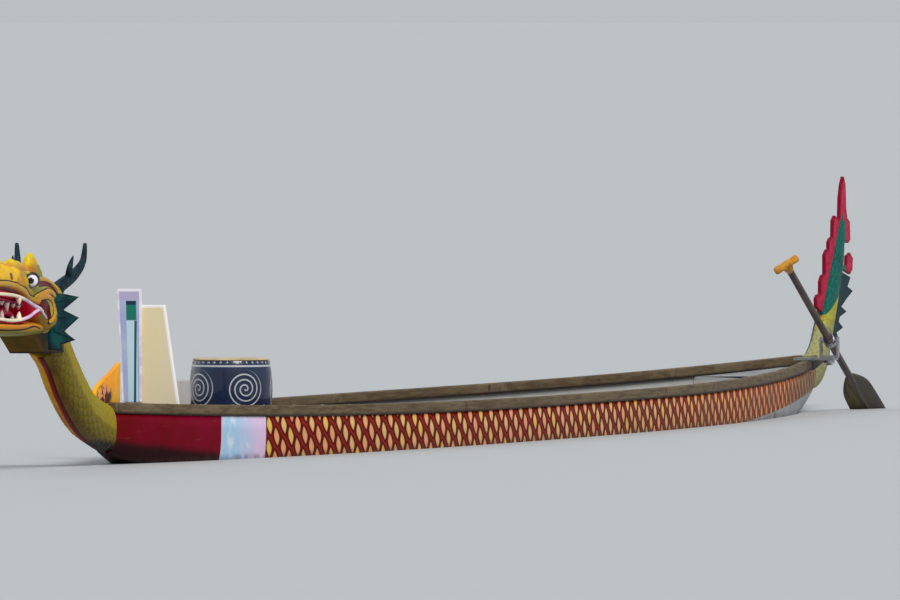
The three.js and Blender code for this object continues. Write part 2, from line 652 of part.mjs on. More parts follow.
// Steering oar: its line runs from the grip through the oarlock to the top of the blade
const GRIP_AT = new THREE.Vector3(-4728, 287.7, 740);
const BLADE_AT = new THREE.Vector3(-6269, 221.6, 159.5);
const OARLOCK_X = -5750;
const oarLine = BLADE_AT.clone().sub(GRIP_AT).normalize();
const oarlock = GRIP_AT.clone().addScaledVector(oarLine, (OARLOCK_X - GRIP_AT.x) / oarLine.x);
const level = new THREE.Vector3(oarLine.x, oarLine.y, 0).normalize();
const sideways = new THREE.Vector3(0, 0, 1).cross(level);
const levelFrame = new THREE.Matrix4().makeBasis(level, sideways, new THREE.Vector3(0, 0, 1))
  .setPosition(oarlock);
const oarFrame = new THREE.Matrix4().makeBasis(oarLine, sideways, oarLine.clone().cross(sideways))
  .setPosition(oarlock);

const SHAFT_RADIUS = 17.5;
const SHAFT_SIDES = 16;
const SLEEVE = { outer: 29, bore: 18, half: 30, sides: 24 };
const TRUNNION = { radius: 7, reach: 50, hole: 7.8 };
const CHEEK = { inner: 38, outer: 47, half: 20, above: 20 };
const ARM = { half: 45, inboard: 70, beyond: 34, thickness: 10 };
const YAW_PIN = { radius: 8.5, hole: 9.3, boss: 26, bossDrop: 26, nut: 16, nutHeight: 9, clear: 2 };

// A round bar along the local x axis from one end to the other
function barX(radius, x0, x1, sides, tipRadius = radius) {
  const bar = new THREE.CylinderGeometry(tipRadius, radius, x1 - x0, sides);
  return bar.rotateZ(-Math.PI / 2).translate((x0 + x1) / 2, 0, 0);
}

function barZ(radius, z0, z1, sides) {
  const bar = new THREE.CylinderGeometry(radius, radius, z1 - z0, sides);
  return bar.rotateX(Math.PI / 2).translate(0, 0, (z0 + z1) / 2);
}

const [gripEnd, bladeStart] = [-GRIP_AT.distanceTo(oarlock), BLADE_AT.distanceTo(oarlock)];

// Bracket arm on the port rail, with a boss for the upright pin
const railTopAt = (x) => along(x).rim + RAIL_HEIGHT + GAP;
const armEnds = [OARLOCK_X - ARM.half, OARLOCK_X + ARM.half];
const armTop = Math.max(...armEnds.map(railTopAt)) + ARM.thickness;
const arm = solid(skin(armEnds.map((x) => [
  [x, ARM.inboard, railTopAt(x)], [x, ARM.inboard, armTop],
  [x, oarlock.y + ARM.beyond, armTop], [x, oarlock.y + ARM.beyond, railTopAt(x)],
])));
const boss = solid(barZ(YAW_PIN.boss, armTop - YAW_PIN.bossDrop, armTop, 20)
  .translate(oarlock.x, oarlock.y, 0));
const pinHole = solid(barZ(YAW_PIN.hole, armTop - 80, armTop + 80, 20).translate(oarlock.x, oarlock.y, 0));
const gussetOuter = Math.max(...armEnds.map((x) => along(x).beam)) + RAIL_OVERHANG + GAP;
const gusset = solid(skin([OARLOCK_X - 5, OARLOCK_X + 5].map((x) => [
  [x, gussetOuter, armTop - 4], [x, gussetOuter, armTop - 62], [x, gussetOuter + 12, armTop - 62],
  [x, oarlock.y - YAW_PIN.boss + 6, armTop - 16], [x, oarlock.y - YAW_PIN.boss + 6, armTop - 4],
])));
add('oar_bracket', surface(arm.add(boss).add(gusset).subtract(pinHole)), STEEL);

// Swivel fork: upright pin, base and two cheeks with holes for the trunnions
const baseLow = armTop + YAW_PIN.clear - oarlock.z;
const pinLow = armTop - YAW_PIN.bossDrop - YAW_PIN.clear - oarlock.z;
let fork = solid(block(-CHEEK.half, CHEEK.half, -CHEEK.outer, CHEEK.outer, baseLow, baseLow + 10));
for (const side of [1, -1]) {
  const ys = side > 0 ? [CHEEK.inner, CHEEK.outer] : [-CHEEK.outer, -CHEEK.inner];
  fork = fork.add(solid(block(-CHEEK.half, CHEEK.half, ...ys, baseLow, CHEEK.above)));
}
const trunnionHole = new THREE.CylinderGeometry(TRUNNION.hole, TRUNNION.hole, 2 * CHEEK.outer + 20, 20);
fork = fork.add(solid(barZ(YAW_PIN.radius, pinLow - YAW_PIN.nutHeight, baseLow + 5, 16)))
  .add(solid(barZ(YAW_PIN.nut, pinLow - YAW_PIN.nutHeight, pinLow, 6)))
  .subtract(solid(trunnionHole));
add('oarlock_fork', surface(fork).applyMatrix4(levelFrame), STEEL);

// Sleeve round the shaft, on two trunnions
const trunnionBar = new THREE.CylinderGeometry(TRUNNION.radius, TRUNNION.radius, 2 * TRUNNION.reach, 16);
const sleeve = solid(barX(SLEEVE.outer, -SLEEVE.half, SLEEVE.half, SLEEVE.sides))
  .add(solid(trunnionBar))
  .subtract(solid(barX(SLEEVE.bore, -SLEEVE.half - 5, SLEEVE.half + 5, SLEEVE.sides)));
add('oarlock_sleeve', surface(sleeve).applyMatrix4(oarFrame), STEEL);

// Oar: shaft with two stop rings, T-grip and a flat blade with the shaft let into it
const OAR_TURN = THREE.MathUtils.degToRad(-35);
const STOP = { radius: 26, from: 34, to: 44 };
const TAPER = { from: 60, lap: 5, end: 330, tip: 6, room: 2 };
const GRIP = { radius: 20, half: 68, socket: 25, socketLength: 60 };
const BLADE_ROWS = [[-30, 28, 9], [40, 52, 9], [150, 74, 8], [560, 80, 7], [690, 77, 6], [720, 66, 4]];
const turned = (geometry) => geometry.rotateX(OAR_TURN).applyMatrix4(oarFrame);

// The shaft's length, straight and then tapering where it is let into the blade, grown for its room
const [taperStart, taperEnd] = [bladeStart + TAPER.from - TAPER.lap, bladeStart + TAPER.end];
const shaftForm = (grow, endGrow) => solid(
  barX(SHAFT_RADIUS + grow, gripEnd - grow, bladeStart + TAPER.from, SHAFT_SIDES),
).add(solid(barX(SHAFT_RADIUS + grow, taperStart, taperEnd + endGrow, SHAFT_SIDES, TAPER.tip + grow)));

const shaft = shaftForm(0, 0)
  .add(solid(barX(STOP.radius, -STOP.to, -STOP.from, SHAFT_SIDES)))
  .add(solid(barX(STOP.radius, STOP.from, STOP.to, SHAFT_SIDES)));
add('oar_shaft', turned(surface(shaft)), SHAFT_DARK);

const shaftRoom = shaftForm(GAP, TAPER.room);
const gripBar = new THREE.CylinderGeometry(GRIP.radius, GRIP.radius, 2 * GRIP.half, 12)
  .translate(gripEnd - GRIP.radius, 0, 0);
const grip = solid(gripBar)
  .add(solid(barX(GRIP.socket, gripEnd - GRIP.radius, gripEnd + GRIP.socketLength, 12)))
  .subtract(shaftRoom);
add('oar_grip', turned(surface(grip)), GRIP_WOOD);

const blade = solid(skin(BLADE_ROWS.map(([d, half, thickness]) => [
  [bladeStart + d, half, thickness], [bladeStart + d, -half, thickness],
  [bladeStart + d, -half, -thickness], [bladeStart + d, half, -thickness],
])));
add('oar_blade', turned(surface(blade.subtract(shaftRoom))), BLADE_WOOD);

export default boat;
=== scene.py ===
import math

import bmesh
import bpy
from mathutils import Matrix, Vector
from mathutils.geometry import intersect_point_line


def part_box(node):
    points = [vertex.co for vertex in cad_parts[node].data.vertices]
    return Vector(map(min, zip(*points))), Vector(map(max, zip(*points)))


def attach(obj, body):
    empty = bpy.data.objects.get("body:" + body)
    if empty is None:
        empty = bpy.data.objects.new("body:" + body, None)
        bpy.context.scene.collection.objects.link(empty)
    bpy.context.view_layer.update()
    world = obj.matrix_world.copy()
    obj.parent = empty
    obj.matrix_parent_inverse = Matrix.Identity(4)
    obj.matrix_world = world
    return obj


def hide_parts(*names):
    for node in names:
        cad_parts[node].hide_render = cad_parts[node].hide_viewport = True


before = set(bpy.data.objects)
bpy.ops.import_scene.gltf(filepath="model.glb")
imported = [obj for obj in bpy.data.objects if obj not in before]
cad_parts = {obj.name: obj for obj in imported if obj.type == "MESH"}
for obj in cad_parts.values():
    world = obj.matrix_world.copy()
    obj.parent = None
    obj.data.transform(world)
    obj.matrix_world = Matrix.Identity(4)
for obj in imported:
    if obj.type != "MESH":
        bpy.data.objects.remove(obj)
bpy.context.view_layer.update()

# View: the boat seen with a very long lens from far off its port bow, from just above the
# waterline, with the tip of the snout outside the picture's left edge.
stem_x, stern_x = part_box("hull_bow")[1][0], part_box("hull_stern")[0][0]
view_bearing = math.radians(15.3)
view_distance = 85.54
view_aside = 1.515
eye_height = 1.944
view_tilt = math.radians(0.818)
picture_width_px = 900
lens_px = 19536
toward_viewer = Vector((math.cos(view_bearing), math.sin(view_bearing), 0))
to_the_side = Vector((-math.sin(view_bearing), math.cos(view_bearing), 0))
eye = Vector((stem_x, 0, eye_height)) + view_distance * toward_viewer + view_aside * to_the_side
aim = -toward_viewer * math.cos(view_tilt) - Vector((0, 0, math.sin(view_tilt)))
camera_data = bpy.data.cameras.new("camera")
camera_data.sensor_width = 36
camera_data.lens = camera_data.sensor_width * lens_px / picture_width_px
camera_data.clip_start, camera_data.clip_end = 0.5, 30000
camera = bpy.data.objects.new("camera", camera_data)
camera.location = eye
camera.rotation_euler = aim.to_track_quat("-Z", "Y").to_euler()
bpy.context.scene.collection.objects.link(camera)
bpy.context.scene.camera = camera

# Light: a pale room, one broad soft lamp high on the port bow and a weak one from the other side.
room_color, room_strength = (0.83, 0.87, 0.9, 1), 0.6
room = bpy.data.worlds.new("room")
room.use_nodes = True
background = room.node_tree.nodes["Background"]
background.inputs["Color"].default_value = room_color
background.inputs["Strength"].default_value = room_strength
bpy.context.scene.world = room
bpy.context.scene.view_settings.view_transform = "Standard"


def lamp(name, strength, spread, toward, color):
    data = bpy.data.lights.new(name, "SUN")
    data.energy, data.angle, data.color = strength, math.radians(spread), color
    light = bpy.data.objects.new(name, data)
    light.rotation_euler = Vector(toward).to_track_quat("-Z", "Y").to_euler()
    bpy.context.scene.collection.objects.link(light)


lamp("key_lamp", 2.5, 24, (-0.62, -0.5, -0.75), (1, 0.975, 0.94))
lamp("fill_lamp", 0.4, 60, (0.3, 0.8, -0.45), (0.93, 0.96, 1))


# Hull: one moulding in glass fibre, open on top, gelcoated grey inside and painted outside with
# a maroon panel at the bow, a pale blank panel, and red and yellow scales along to the stern.
half_length = stem_x
half_beam_most = 0.560
half_beam_ends = 0.048
widest_x = 0.175
plan_power = 2.38
section_power = 4
sheer_midships, sheer_rise, sheer_power = 0.205, 0.070, 3
draft, bow_keel_z, stern_keel_z, keel_power = 0.235, 0.050, 0.100, 4
rail_height = 0.050
shell = 0.012


def half_beam(x):
    reach = half_length - widest_x if x > widest_x else half_length + widest_x
    share = min(1, abs(x - widest_x) / reach)
    return half_beam_ends + (half_beam_most - half_beam_ends) * (1 - share ** plan_power)


def sheer(x):
    return sheer_midships + sheer_rise * abs(x / half_length) ** sheer_power


def rim(x):
    return sheer(x) - rail_height


def keel(x):
    end = bow_keel_z if x > 0 else stern_keel_z
    return -draft + (draft + end) * abs(x / half_length) ** keel_power


def bent(value, power):
    """A sine or cosine, bent so that what it draws is round at a power of 2 and squarer above."""
    return math.copysign(abs(value) ** (2 / power), value)


def hull_point(x, turn):
    """A point of the section at x, where turn goes from 0 at the port rim to 1 at starboard."""
    angle = math.pi * turn
    across = bent(math.cos(angle), section_power) * half_beam(x)
    down = abs(math.sin(angle)) ** (2 / section_power) * (rim(x) - keel(x))
    return Vector((x, across, rim(x) - down))


def bent_grid(rows, columns, place, merge=0.0, paints=()):
    """A grid of faces bent to a form: place turns two shares from 0 to 1 into a point. Each of
    paints is a name and what turns the same shares and the point into that attribute."""
    mesh = bmesh.new()
    bmesh.ops.create_grid(mesh, x_segments=rows, y_segments=columns, size=0.5)
    layers = [(mesh.verts.layers.float.new(name), tone) for name, tone in paints]
    for vert in mesh.verts:
        u, v = vert.co.x + 0.5, vert.co.y + 0.5
        vert.co = place(u, v)
        for layer, tone in layers:
            vert[layer] = tone(u, v, vert.co)
    if merge:
        bmesh.ops.remove_doubles(mesh, verts=mesh.verts, dist=merge)
    return mesh


def fill_ends(mesh):
    """Closes a tube's open ends and turns its faces outwards."""
    edges = [edge for edge in mesh.edges if edge.is_boundary]
    bmesh.ops.holes_fill(mesh, edges=edges, sides=0)
    bmesh.ops.recalc_face_normals(mesh, faces=mesh.faces)
    return mesh


def piece(mesh, name, body, finish, replaced=(), sharp=35, slot=None, second_finish=None):
    """Makes a mesh an object that rides on a body and stands for the replaced nodes. Its edges
    are sharp where they turn by more than sharp degrees."""
    data = bpy.data.meshes.new(name)
    mesh.to_mesh(data)
    mesh.free()
    data.materials.append(finish.material)
    if second_finish:
        data.materials.append(second_finish.material)
    data.shade_smooth()
    data.set_sharp_from_angle(angle=math.radians(sharp))
    made = bpy.data.objects.new(name, data)
    bpy.context.scene.collection.objects.link(made)
    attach(made, body)
    if replaced:
        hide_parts(*replaced)
    return made


class Value:
    """A socket of a finish's nodes. Used in an expression, it adds the Math nodes for it."""

    def __init__(self, finish, socket):
        self.finish, self.socket = finish, socket

    def maths(self, operation, *terms):
        return self.finish.node("ShaderNodeMath", {"operation": operation}, dict(enumerate(terms)))

    def __add__(self, other):
        return self.maths("ADD", self, other)

    def __sub__(self, other):
        return self.maths("SUBTRACT", self, other)

    def __rsub__(self, other):
        return self.maths("SUBTRACT", other, self)

    def __mul__(self, other):
        return self.maths("MULTIPLY", self, other)

    def __truediv__(self, other):
        return self.maths("DIVIDE", self, other)

    def __pow__(self, other):
        return self.maths("POWER", self, other)

    def __mod__(self, other):
        return self.maths("FLOORED_MODULO", self, other)

    def __gt__(self, other):
        return self.maths("GREATER_THAN", self, other)

    def __lt__(self, other):
        return self.maths("LESS_THAN", self, other)

    def __abs__(self):
        return self.maths("ABSOLUTE", self)

    def floor(self):
        return self.maths("FLOOR", self)

    def least(self, other):
        return self.maths("MINIMUM", self, other)

    def most(self, other):
        return self.maths("MAXIMUM", self, other)

    __radd__, __rmul__ = __add__, __mul__


class Finish:
    """A material in the making: a shader, and nodes that feed it."""

    def __init__(self, name, roughness=0.5, metallic=0.0, coat=0.0, coat_roughness=0.1, gloss=0.2):
        self.material = bpy.data.materials.new(name)
        self.material.use_nodes = True
        self.tree = self.material.node_tree
        self.shader = self.tree.nodes["Principled BSDF"]
        self.set("Roughness", roughness)
        self.set("Metallic", metallic)
        self.set("Coat Weight", coat)
        self.shader.inputs["Coat Roughness"].default_value = coat_roughness
        self.shader.inputs["Specular IOR Level"].default_value = 0.5 if metallic else gloss

    def node(self, kind, settings, inputs, out=0):
        made = self.tree.nodes.new(kind)
        for key, value in settings.items():
            setattr(made, key, value)
        for key, value in inputs.items():
            self.join(made.inputs[key], value)
        return Value(self, made.outputs[out])

    def join(self, socket, value):
        if isinstance(value, Value):
            self.tree.links.new(value.socket, socket)
        else:
            socket.default_value = value

    def set(self, name, value):
        if isinstance(value, tuple):
            value = (*value, 1)
        self.join(self.shader.inputs[name], value)

    def place(self):
        return self.node("ShaderNodeTexCoord", {}, {}, "Object")

    def axis(self, name, where=None):
        """How far along X, Y or Z a place lies."""
        return self.node("ShaderNodeSeparateXYZ", {}, {0: where or self.place()}, name)

    def painted(self, name):
        """The number that a mesh holds at each of its points under that name."""
        return self.node("ShaderNodeAttribute", {"attribute_name": name}, {}, "Fac")

    def away(self, point):
        """The distance from a point of the boat."""
        return self.node("ShaderNodeVectorMath", {"operation": "DISTANCE"}, {
            0: self.place(), 1: tuple(point)}, "Value")

    def fade(self, value, low, high):
        """0 at low and 1 at high, smooth between them."""
        return self.node("ShaderNodeMapRange", {"interpolation_type": "SMOOTHSTEP"}, {
            "Value": value, "From Min": low, "From Max": high,
        })

    def band(self, value, half, soft):
        """1 where a value is nearer to 0 than half, with a soft edge inside that."""
        return self.fade(half - abs(value), 0, soft)

    def noise(self, scale, detail=3.0, where=None, roughness=0.55, distortion=0.0):
        return self.node("ShaderNodeTexNoise", {}, {
            "Vector": where or self.place(), "Scale": scale, "Detail": detail,
            "Roughness": roughness, "Distortion": distortion,
        }, "Fac")

    def patches(self, scale, detail, low, high):
        """1 in the clouds of a noise and 0 between them."""
        return self.fade(self.noise(scale, detail), low, high)

    def grain(self, fineness, detail=4, where=None, **settings):
        """Noise drawn out into streaks, as fine along x, y and z as the three numbers say."""
        scaled = self.node("ShaderNodeVectorMath", {"operation": "MULTIPLY"}, {
            0: where or self.place(), 1: fineness})
        return self.noise(1, detail, scaled, **settings)

    def blend(self, first, second, share):
        inputs = {0: share, 6: first, 7: second}
        for key in (6, 7):
            if isinstance(inputs[key], tuple):
                inputs[key] = (*inputs[key], 1)
        return self.node("ShaderNodeMix", {"data_type": "RGBA"}, inputs, 2)

    def relief(self, height, strength=0.3, distance=0.001):
        self.join(self.shader.inputs["Normal"], self.node("ShaderNodeBump", {}, {
            "Height": height, "Strength": strength, "Distance": distance,
        }, "Normal"))


panel_aft, panel_fore = 4.720, 5.190
lens_pitch, row_pitch, top_row_z = 0.160, 0.051, 0.1436
lens_half_width, lens_half_height, lens_lean, lens_power = 0.029, 0.041, 0.35, 1.7


def bow_panel(paint, x, z):
    """Maroon, with a band of painted shade along its foot that lies lower towards the panel's rear."""
    maroon, dark_maroon, waterline_shade_brown = (0.180, 0.0010, 0.018), (0.135, 0.001, 0.004), (0.024, 0.005, 0.006)
    shade_top_at_stem, shade_top_slope = 0.105, 0.075
    tone = paint.blend(maroon, dark_maroon, paint.patches(3.0, 4, 0.35, 0.7))
    # Painted shade near the water along the panel's foot, its top edge falling aft.
    shade_top = shade_top_at_stem - (stem_x - x) * shade_top_slope
    waterline_shade = paint.fade(shade_top + paint.noise(5, 4) * 0.03 - z, -0.01, 0.035)
    return paint.blend(tone, waterline_shade_brown, waterline_shade)


def blank_panel(paint, x):
    """Thin washes of sky blue and lilac, milky in places."""
    sky, lilac, milk = (0.34, 0.52, 0.70), (0.64, 0.46, 0.66), (0.62, 0.68, 0.74)
    share = (x - panel_aft) / (panel_fore - panel_aft)
    tone = paint.blend(lilac, sky, paint.fade(share + paint.noise(7, 4) * 0.8, 0.5, 1.15))
    return paint.blend(tone, milk, paint.patches(11, 5, 0.5, 0.72))


def lens_row(along, z, shift):
    """For every second row of lenses: the distance from the nearest lens's middle, which is 1 on
    its outline, and a number of its own. Shift is 1 for the rows that lie half a pitch on."""
    row_z = top_row_z - shift * row_pitch
    row = ((z - row_z) / (2 * row_pitch) + 0.5).floor()
    column = (along / lens_pitch + 0.5 * shift + 0.5).floor()
    up = z - row_z - row * (2 * row_pitch)
    across = along - (column - 0.5 * shift) * lens_pitch - up * lens_lean
    distance = abs(across) / lens_half_width + (abs(up) / lens_half_height) ** lens_power
    return distance, column * 7.31 + row * 3.17 + shift * 1.7


def painted_scales(paint, x, z):
    """Rows of straw, peach and gold lenses on dark red, both browner and grimier to the stern."""
    straw, peach, gold = (0.62, 0.42, 0.17), (0.68, 0.33, 0.16), (0.66, 0.44, 0.10)
    aft_orange, lens_edge, grime_brown = (0.64, 0.26, 0.09), (0.38, 0.08, 0.012), (0.110, 0.078, 0.032)
    outline_red, ground_red, aft_red = (0.085, 0.002, 0.001), (0.22, 0.014, 0.006), (0.20, 0.024, 0.005)
    fore_shift, aft_shift = 0.036, 0.033
    along = x - paint.fade(x, 2.4, 4.7) * fore_shift - paint.fade(x, 0.5, -2.5) * aft_shift
    even, even_number = lens_row(along, z, 0)
    odd, odd_number = lens_row(along, z, 1)
    distance = even.least(odd)
    in_even = even < odd
    number = even_number * in_even + odd_number * (1 - in_even)
    chance = paint.node("ShaderNodeTexWhiteNoise", {"noise_dimensions": "1D"}, {"W": number}, "Value")
    aft_share = paint.fade(x, -0.5, -4.0) * 0.7
    lens = paint.blend(peach, straw, paint.fade(chance, 0.25, 0.55))
    lens = paint.blend(lens, gold, paint.fade(chance, 0.75, 0.9))
    lens = paint.blend(lens, aft_orange, aft_share)
    lens = paint.blend(lens, lens_edge, paint.fade(distance, 0.55, 1.0) * 0.6)
    ground = paint.blend(outline_red, ground_red, paint.fade(distance, 1.3, 2.2))
    ground = paint.blend(ground, aft_red, aft_share)
    scales = paint.blend(lens, ground, paint.fade(distance, 0.92, 1.08))
    grime = paint.patches(3, 5, 0.45, 0.7) * paint.fade(x, 1.0, -5.5) * 0.55
    stern_grime = paint.fade(x, -4.5, -5.4) * (0.35 + paint.patches(14, 4, 0.35, 0.65) * 0.4)
    return paint.blend(scales, grime_brown, grime.most(stern_grime))


def bare_bottom(paint, side, x, z):
    """The painted side above a bare bottom, whose edge climbs aft, and a scum line along both."""
    bottom_white, bottom_grey, scum_brown = (0.30, 0.31, 0.32), (0.16, 0.165, 0.15), (0.05, 0.04, 0.03)
    climb_from, climb_length, climb, climb_power = 3.0, 3.245, 0.125, 1.2
    edge_z, scum_z, scum_half = -0.004, 0.004, 0.03
    edge = ((0 - x - climb_from) / climb_length).most(0.0) ** climb_power * climb + edge_z
    bottom = paint.blend(bottom_white, bottom_grey, paint.patches(5, 6, 0.45, 0.75))
    side = paint.blend(side, bottom, paint.fade(edge - z, 0, 0.004))
    scum = paint.band(z - scum_z, scum_half, scum_half) * paint.patches(18, 5, 0.3, 0.65)
    return paint.blend(side, scum_brown, scum * 0.55)


def painted_hull():
    paint = Finish("hull_paint", gloss=0.012)
    x, z = paint.axis("X"), paint.axis("Z")
    seam_white, scuff_brown = (0.55, 0.52, 0.60), (0.20, 0.13, 0.12)
    seam_half, seam_soft = 0.006, 0.002
    side = paint.blend(painted_scales(paint, x, z), blank_panel(paint, x), x > panel_aft)
    side = paint.blend(side, bow_panel(paint, x, z), x > panel_fore)
    for seam_x in (panel_aft, panel_fore):
        side = paint.blend(side, seam_white, paint.band(x - seam_x, seam_half, seam_soft))
    side = bare_bottom(paint, side, x, z)
    scuffs = paint.fade(paint.grain((6, 6, 90), 6), 0.62, 0.75)
    paint.set("Base Color", paint.blend(side, scuff_brown, scuffs * 0.15))
    paint.set("Roughness", 0.26 + paint.noise(22, 4) * 0.16 + scuffs * 0.2)
    paint.relief(paint.noise(2.2, 2) + paint.noise(60, 3) * 0.06, 0.25, 0.004)
    return paint


def gelcoat_inside():
    coat = Finish("inner_gelcoat", coat=0.1)
    grey, grime_brown, fleck_grey = (0.40, 0.40, 0.385), (0.17, 0.155, 0.13), (0.15, 0.16, 0.17)
    grime = coat.patches(4, 6, 0.4, 0.75)
    low = coat.fade(coat.axis("Z"), 0.02, -0.2)
    tone = coat.blend(grey, grime_brown, grime * (0.25 + low * 0.6))
    cells = coat.node("ShaderNodeTexVoronoi", {}, {"Vector": coat.place(), "Scale": 130.0}, "Distance")
    coat.set("Base Color", coat.blend(tone, fleck_grey, coat.fade(cells, 0.16, 0.11) * 0.5))
    coat.set("Roughness", 0.42 + grime * 0.3)
    coat.relief(coat.noise(90, 4), 0.35, 0.001)
    return coat


hull_paint = painted_hull()
inner_gelcoat = gelcoat_inside()
hull_lengths = ["hull_bow", "hull_fore", "hull_middle", "hull_aft", "hull_stern"]


def hull_shell():
    mesh = bent_grid(220, 80, lambda u, v: hull_point(stern_x + u * 2 * half_length, v))
    for sign in (-1, 1):
        end = [vert for vert in mesh.verts if abs(vert.co.x - sign * half_length) < 1e-5]
        loop = [edge for edge in mesh.edges if edge.is_boundary and all(vert in end for vert in edge.verts)]
        corners = [vert for vert in end if abs(vert.co.z - rim(vert.co.x)) < 1e-6]
        loop.append(mesh.edges.new(corners))
        bmesh.ops.contextual_create(mesh, geom=loop)
    bmesh.ops.recalc_face_normals(mesh, faces=mesh.faces)
    bottom = min(mesh.faces, key=lambda face: face.calc_center_median().z)
    if bottom.normal.z > 0:
        bmesh.ops.reverse_faces(mesh, faces=mesh.faces)
    made = piece(mesh, "hull", "hull", hull_paint, hull_lengths, slot="hull_paint",
                 second_finish=inner_gelcoat)
    wall = made.modifiers.new("wall", "SOLIDIFY")
    wall.thickness, wall.offset = shell, -1
    wall.use_even_offset = True
    wall.material_offset = wall.material_offset_rim = 1


hull_shell()


# Floor: a plain pale sheet at the waterline, with a hole where the hull goes through it.
def floor_sheet():
    pale_grey = (0.46, 0.48, 0.50)
    reach, steps = 20000, 240
    inside = 0.005
    fore, aft = (half_length * (draft / (draft + end)) ** (1 / keel_power)
                 for end in (bow_keel_z, stern_keel_z))
    middle, span = (fore - aft) / 2, (fore + aft) / 2 - inside

    def half_at_waterline(x):
        share = rim(x) / (rim(x) - keel(x))
        return max(0, half_beam(x) * max(0, 1 - share ** section_power) ** (1 / section_power) - inside)

    mesh = bmesh.new()
    hole = bmesh.ops.create_circle(mesh, segments=steps, radius=1)["verts"]
    for vert in hole:
        x = middle + span * vert.co.x
        vert.co = (x, math.copysign(half_at_waterline(x), vert.co.y), 0)
    bmesh.ops.create_circle(mesh, segments=steps, radius=reach)
    bmesh.ops.bridge_loops(mesh, edges=mesh.edges)
    bmesh.ops.recalc_face_normals(mesh, faces=mesh.faces)
    if next(iter(mesh.faces)).normal.z < 0:
        bmesh.ops.reverse_faces(mesh, faces=mesh.faces)
    data = bpy.data.meshes.new("floor")
    mesh.to_mesh(data)
    mesh.free()
    pale = Finish("pale_floor", roughness=0.6)
    pale.set("Base Color", pale_grey)
    data.materials.append(pale.material)
    sheet = bpy.data.objects.new("floor", data)
    bpy.context.scene.collection.objects.link(sheet)


floor_sheet()


# Rails: steamed hardwood caps, rounded on top, screwed down along both edges of the shell with
# a round-headed steel screw every third of a metre.
def weathered_rail():
    wood = Finish("weathered_rail", gloss=0.08)
    x, z = wood.axis("X"), wood.axis("Z")
    dark_wood, light_wood, silvered = (0.080, 0.052, 0.026), (0.150, 0.108, 0.060), (0.20, 0.16, 0.11)
    stain_brown, shade_brown = (0.035, 0.022, 0.018), (0.022, 0.013, 0.011)
    grain = wood.grain((5, 60, 90), 8, roughness=0.6)
    bare = wood.patches(2.2, 5, 0.52, 0.68)
    tone = wood.blend(dark_wood, light_wood, wood.fade(grain, 0.35, 0.65))
    tone = wood.blend(tone, silvered, bare * 0.5)
    tone = wood.blend(tone, stain_brown, wood.patches(9, 6, 0.6, 0.72) * 0.7)
    underside = sheer_midships - rail_height + abs(x / half_length) ** sheer_power * sheer_rise
    tone = wood.blend(tone, shade_brown, wood.fade(z - underside, 0.016, 0.004) * 0.8)
    wood.set("Base Color", tone)
    wood.set("Roughness", 0.52 + bare * 0.25)
    wood.relief(grain + wood.noise(40, 4) * 0.4, 0.45, 0.0015)
    return wood


def brushed_steel():
    steel = Finish("brushed_steel", metallic=1)
    bright, dull = (0.42, 0.43, 0.45), (0.27, 0.28, 0.29)
    rub = steel.grain((30, 400, 400), 5)
    steel.set("Base Color", steel.blend(bright, dull, steel.patches(14, 5, 0.35, 0.7)))
    steel.set("Roughness", 0.24 + rub * 0.2)
    steel.relief(rub, 0.2, 0.0004)
    return steel


rail_wood = weathered_rail()
steel = brushed_steel()
rail_overhang, rail_inward, rail_power = 0.008, 0.030, 7


def rail_profile(turn):
    """A rounded rectangle, as shares of the rail's width and height, round once from 0 to 1."""
    angle = 2 * math.pi * turn
    return (1 + bent(math.cos(angle), rail_power)) / 2, (1 + bent(math.sin(angle), rail_power)) / 2


def cap_rail(side, name):
    seat = 0.0003

    def place(u, v):
        x = stern_x + u * 2 * half_length
        across, up = rail_profile(v)
        y = half_beam(x) - rail_inward + across * (rail_overhang + rail_inward)
        return Vector((x, side * y, rim(x) + seat + up * (rail_height - seat)))

    mesh = fill_ends(bent_grid(220, 28, place, merge=1e-6))
    piece(mesh, name + "_cap", "hull", rail_wood, [name], sharp=50, slot="rail_wood")


cap_rail(1, "rail_port")
cap_rail(-1, "rail_starboard")


def screw_heads(name, places, radius):
    """Steel heads with a crowned top. Each place is a point and the way that its head faces."""
    crown = 0.35
    mesh = bmesh.new()
    for point, facing in places:
        turn = Vector(facing).to_track_quat("Z", "Y").to_matrix().to_4x4()
        bmesh.ops.create_uvsphere(
            mesh, u_segments=12, v_segments=6, radius=radius,
            matrix=Matrix.Translation(point) @ turn @ Matrix.Diagonal((1, 1, crown, 1)))
    piece(mesh, name, "hull", steel)


upwards = (0, 0, 1)
rail_screws = []
screw_count, screwed_share = 37, 0.97
for number in range(screw_count):
    x = screwed_share * (stern_x + number * 2 * half_length / (screw_count - 1))
    for side in (1, -1):
        y = half_beam(x) + (rail_overhang - rail_inward) / 2
        rail_screws.append((Vector((x, side * y, sheer(x))), upwards))
screw_heads("rail_screws", rail_screws, 0.006)


# Decks: flush glass-fibre decks at both ends, moulded with a non-slip grain, let in between the
# rails and glued down on a bulkhead each. The bulkheads are sheets of the hull's own laminate.
def deck_moulding():
    coat = Finish("deck_moulding", coat=0.15)
    grey, dirt_grey = (0.33, 0.34, 0.36), (0.16, 0.155, 0.15)
    grit = coat.node("ShaderNodeTexVoronoi", {}, {"Vector": coat.place(), "Scale": 260.0}, "Distance")
    dirt = coat.patches(5, 6, 0.42, 0.72)
    coat.set("Base Color", coat.blend(grey, dirt_grey, dirt * 0.7))
    coat.set("Roughness", 0.55 + dirt * 0.2)
    coat.relief(grit, 0.6, 0.0012)
    return coat


deck_coat = deck_moulding()
deck_thickness, deck_crown = 0.018, 0.006
deck_gap = 0.0003
narrow_length = 0.24  # from the boat's end, where the deck lies between the rails


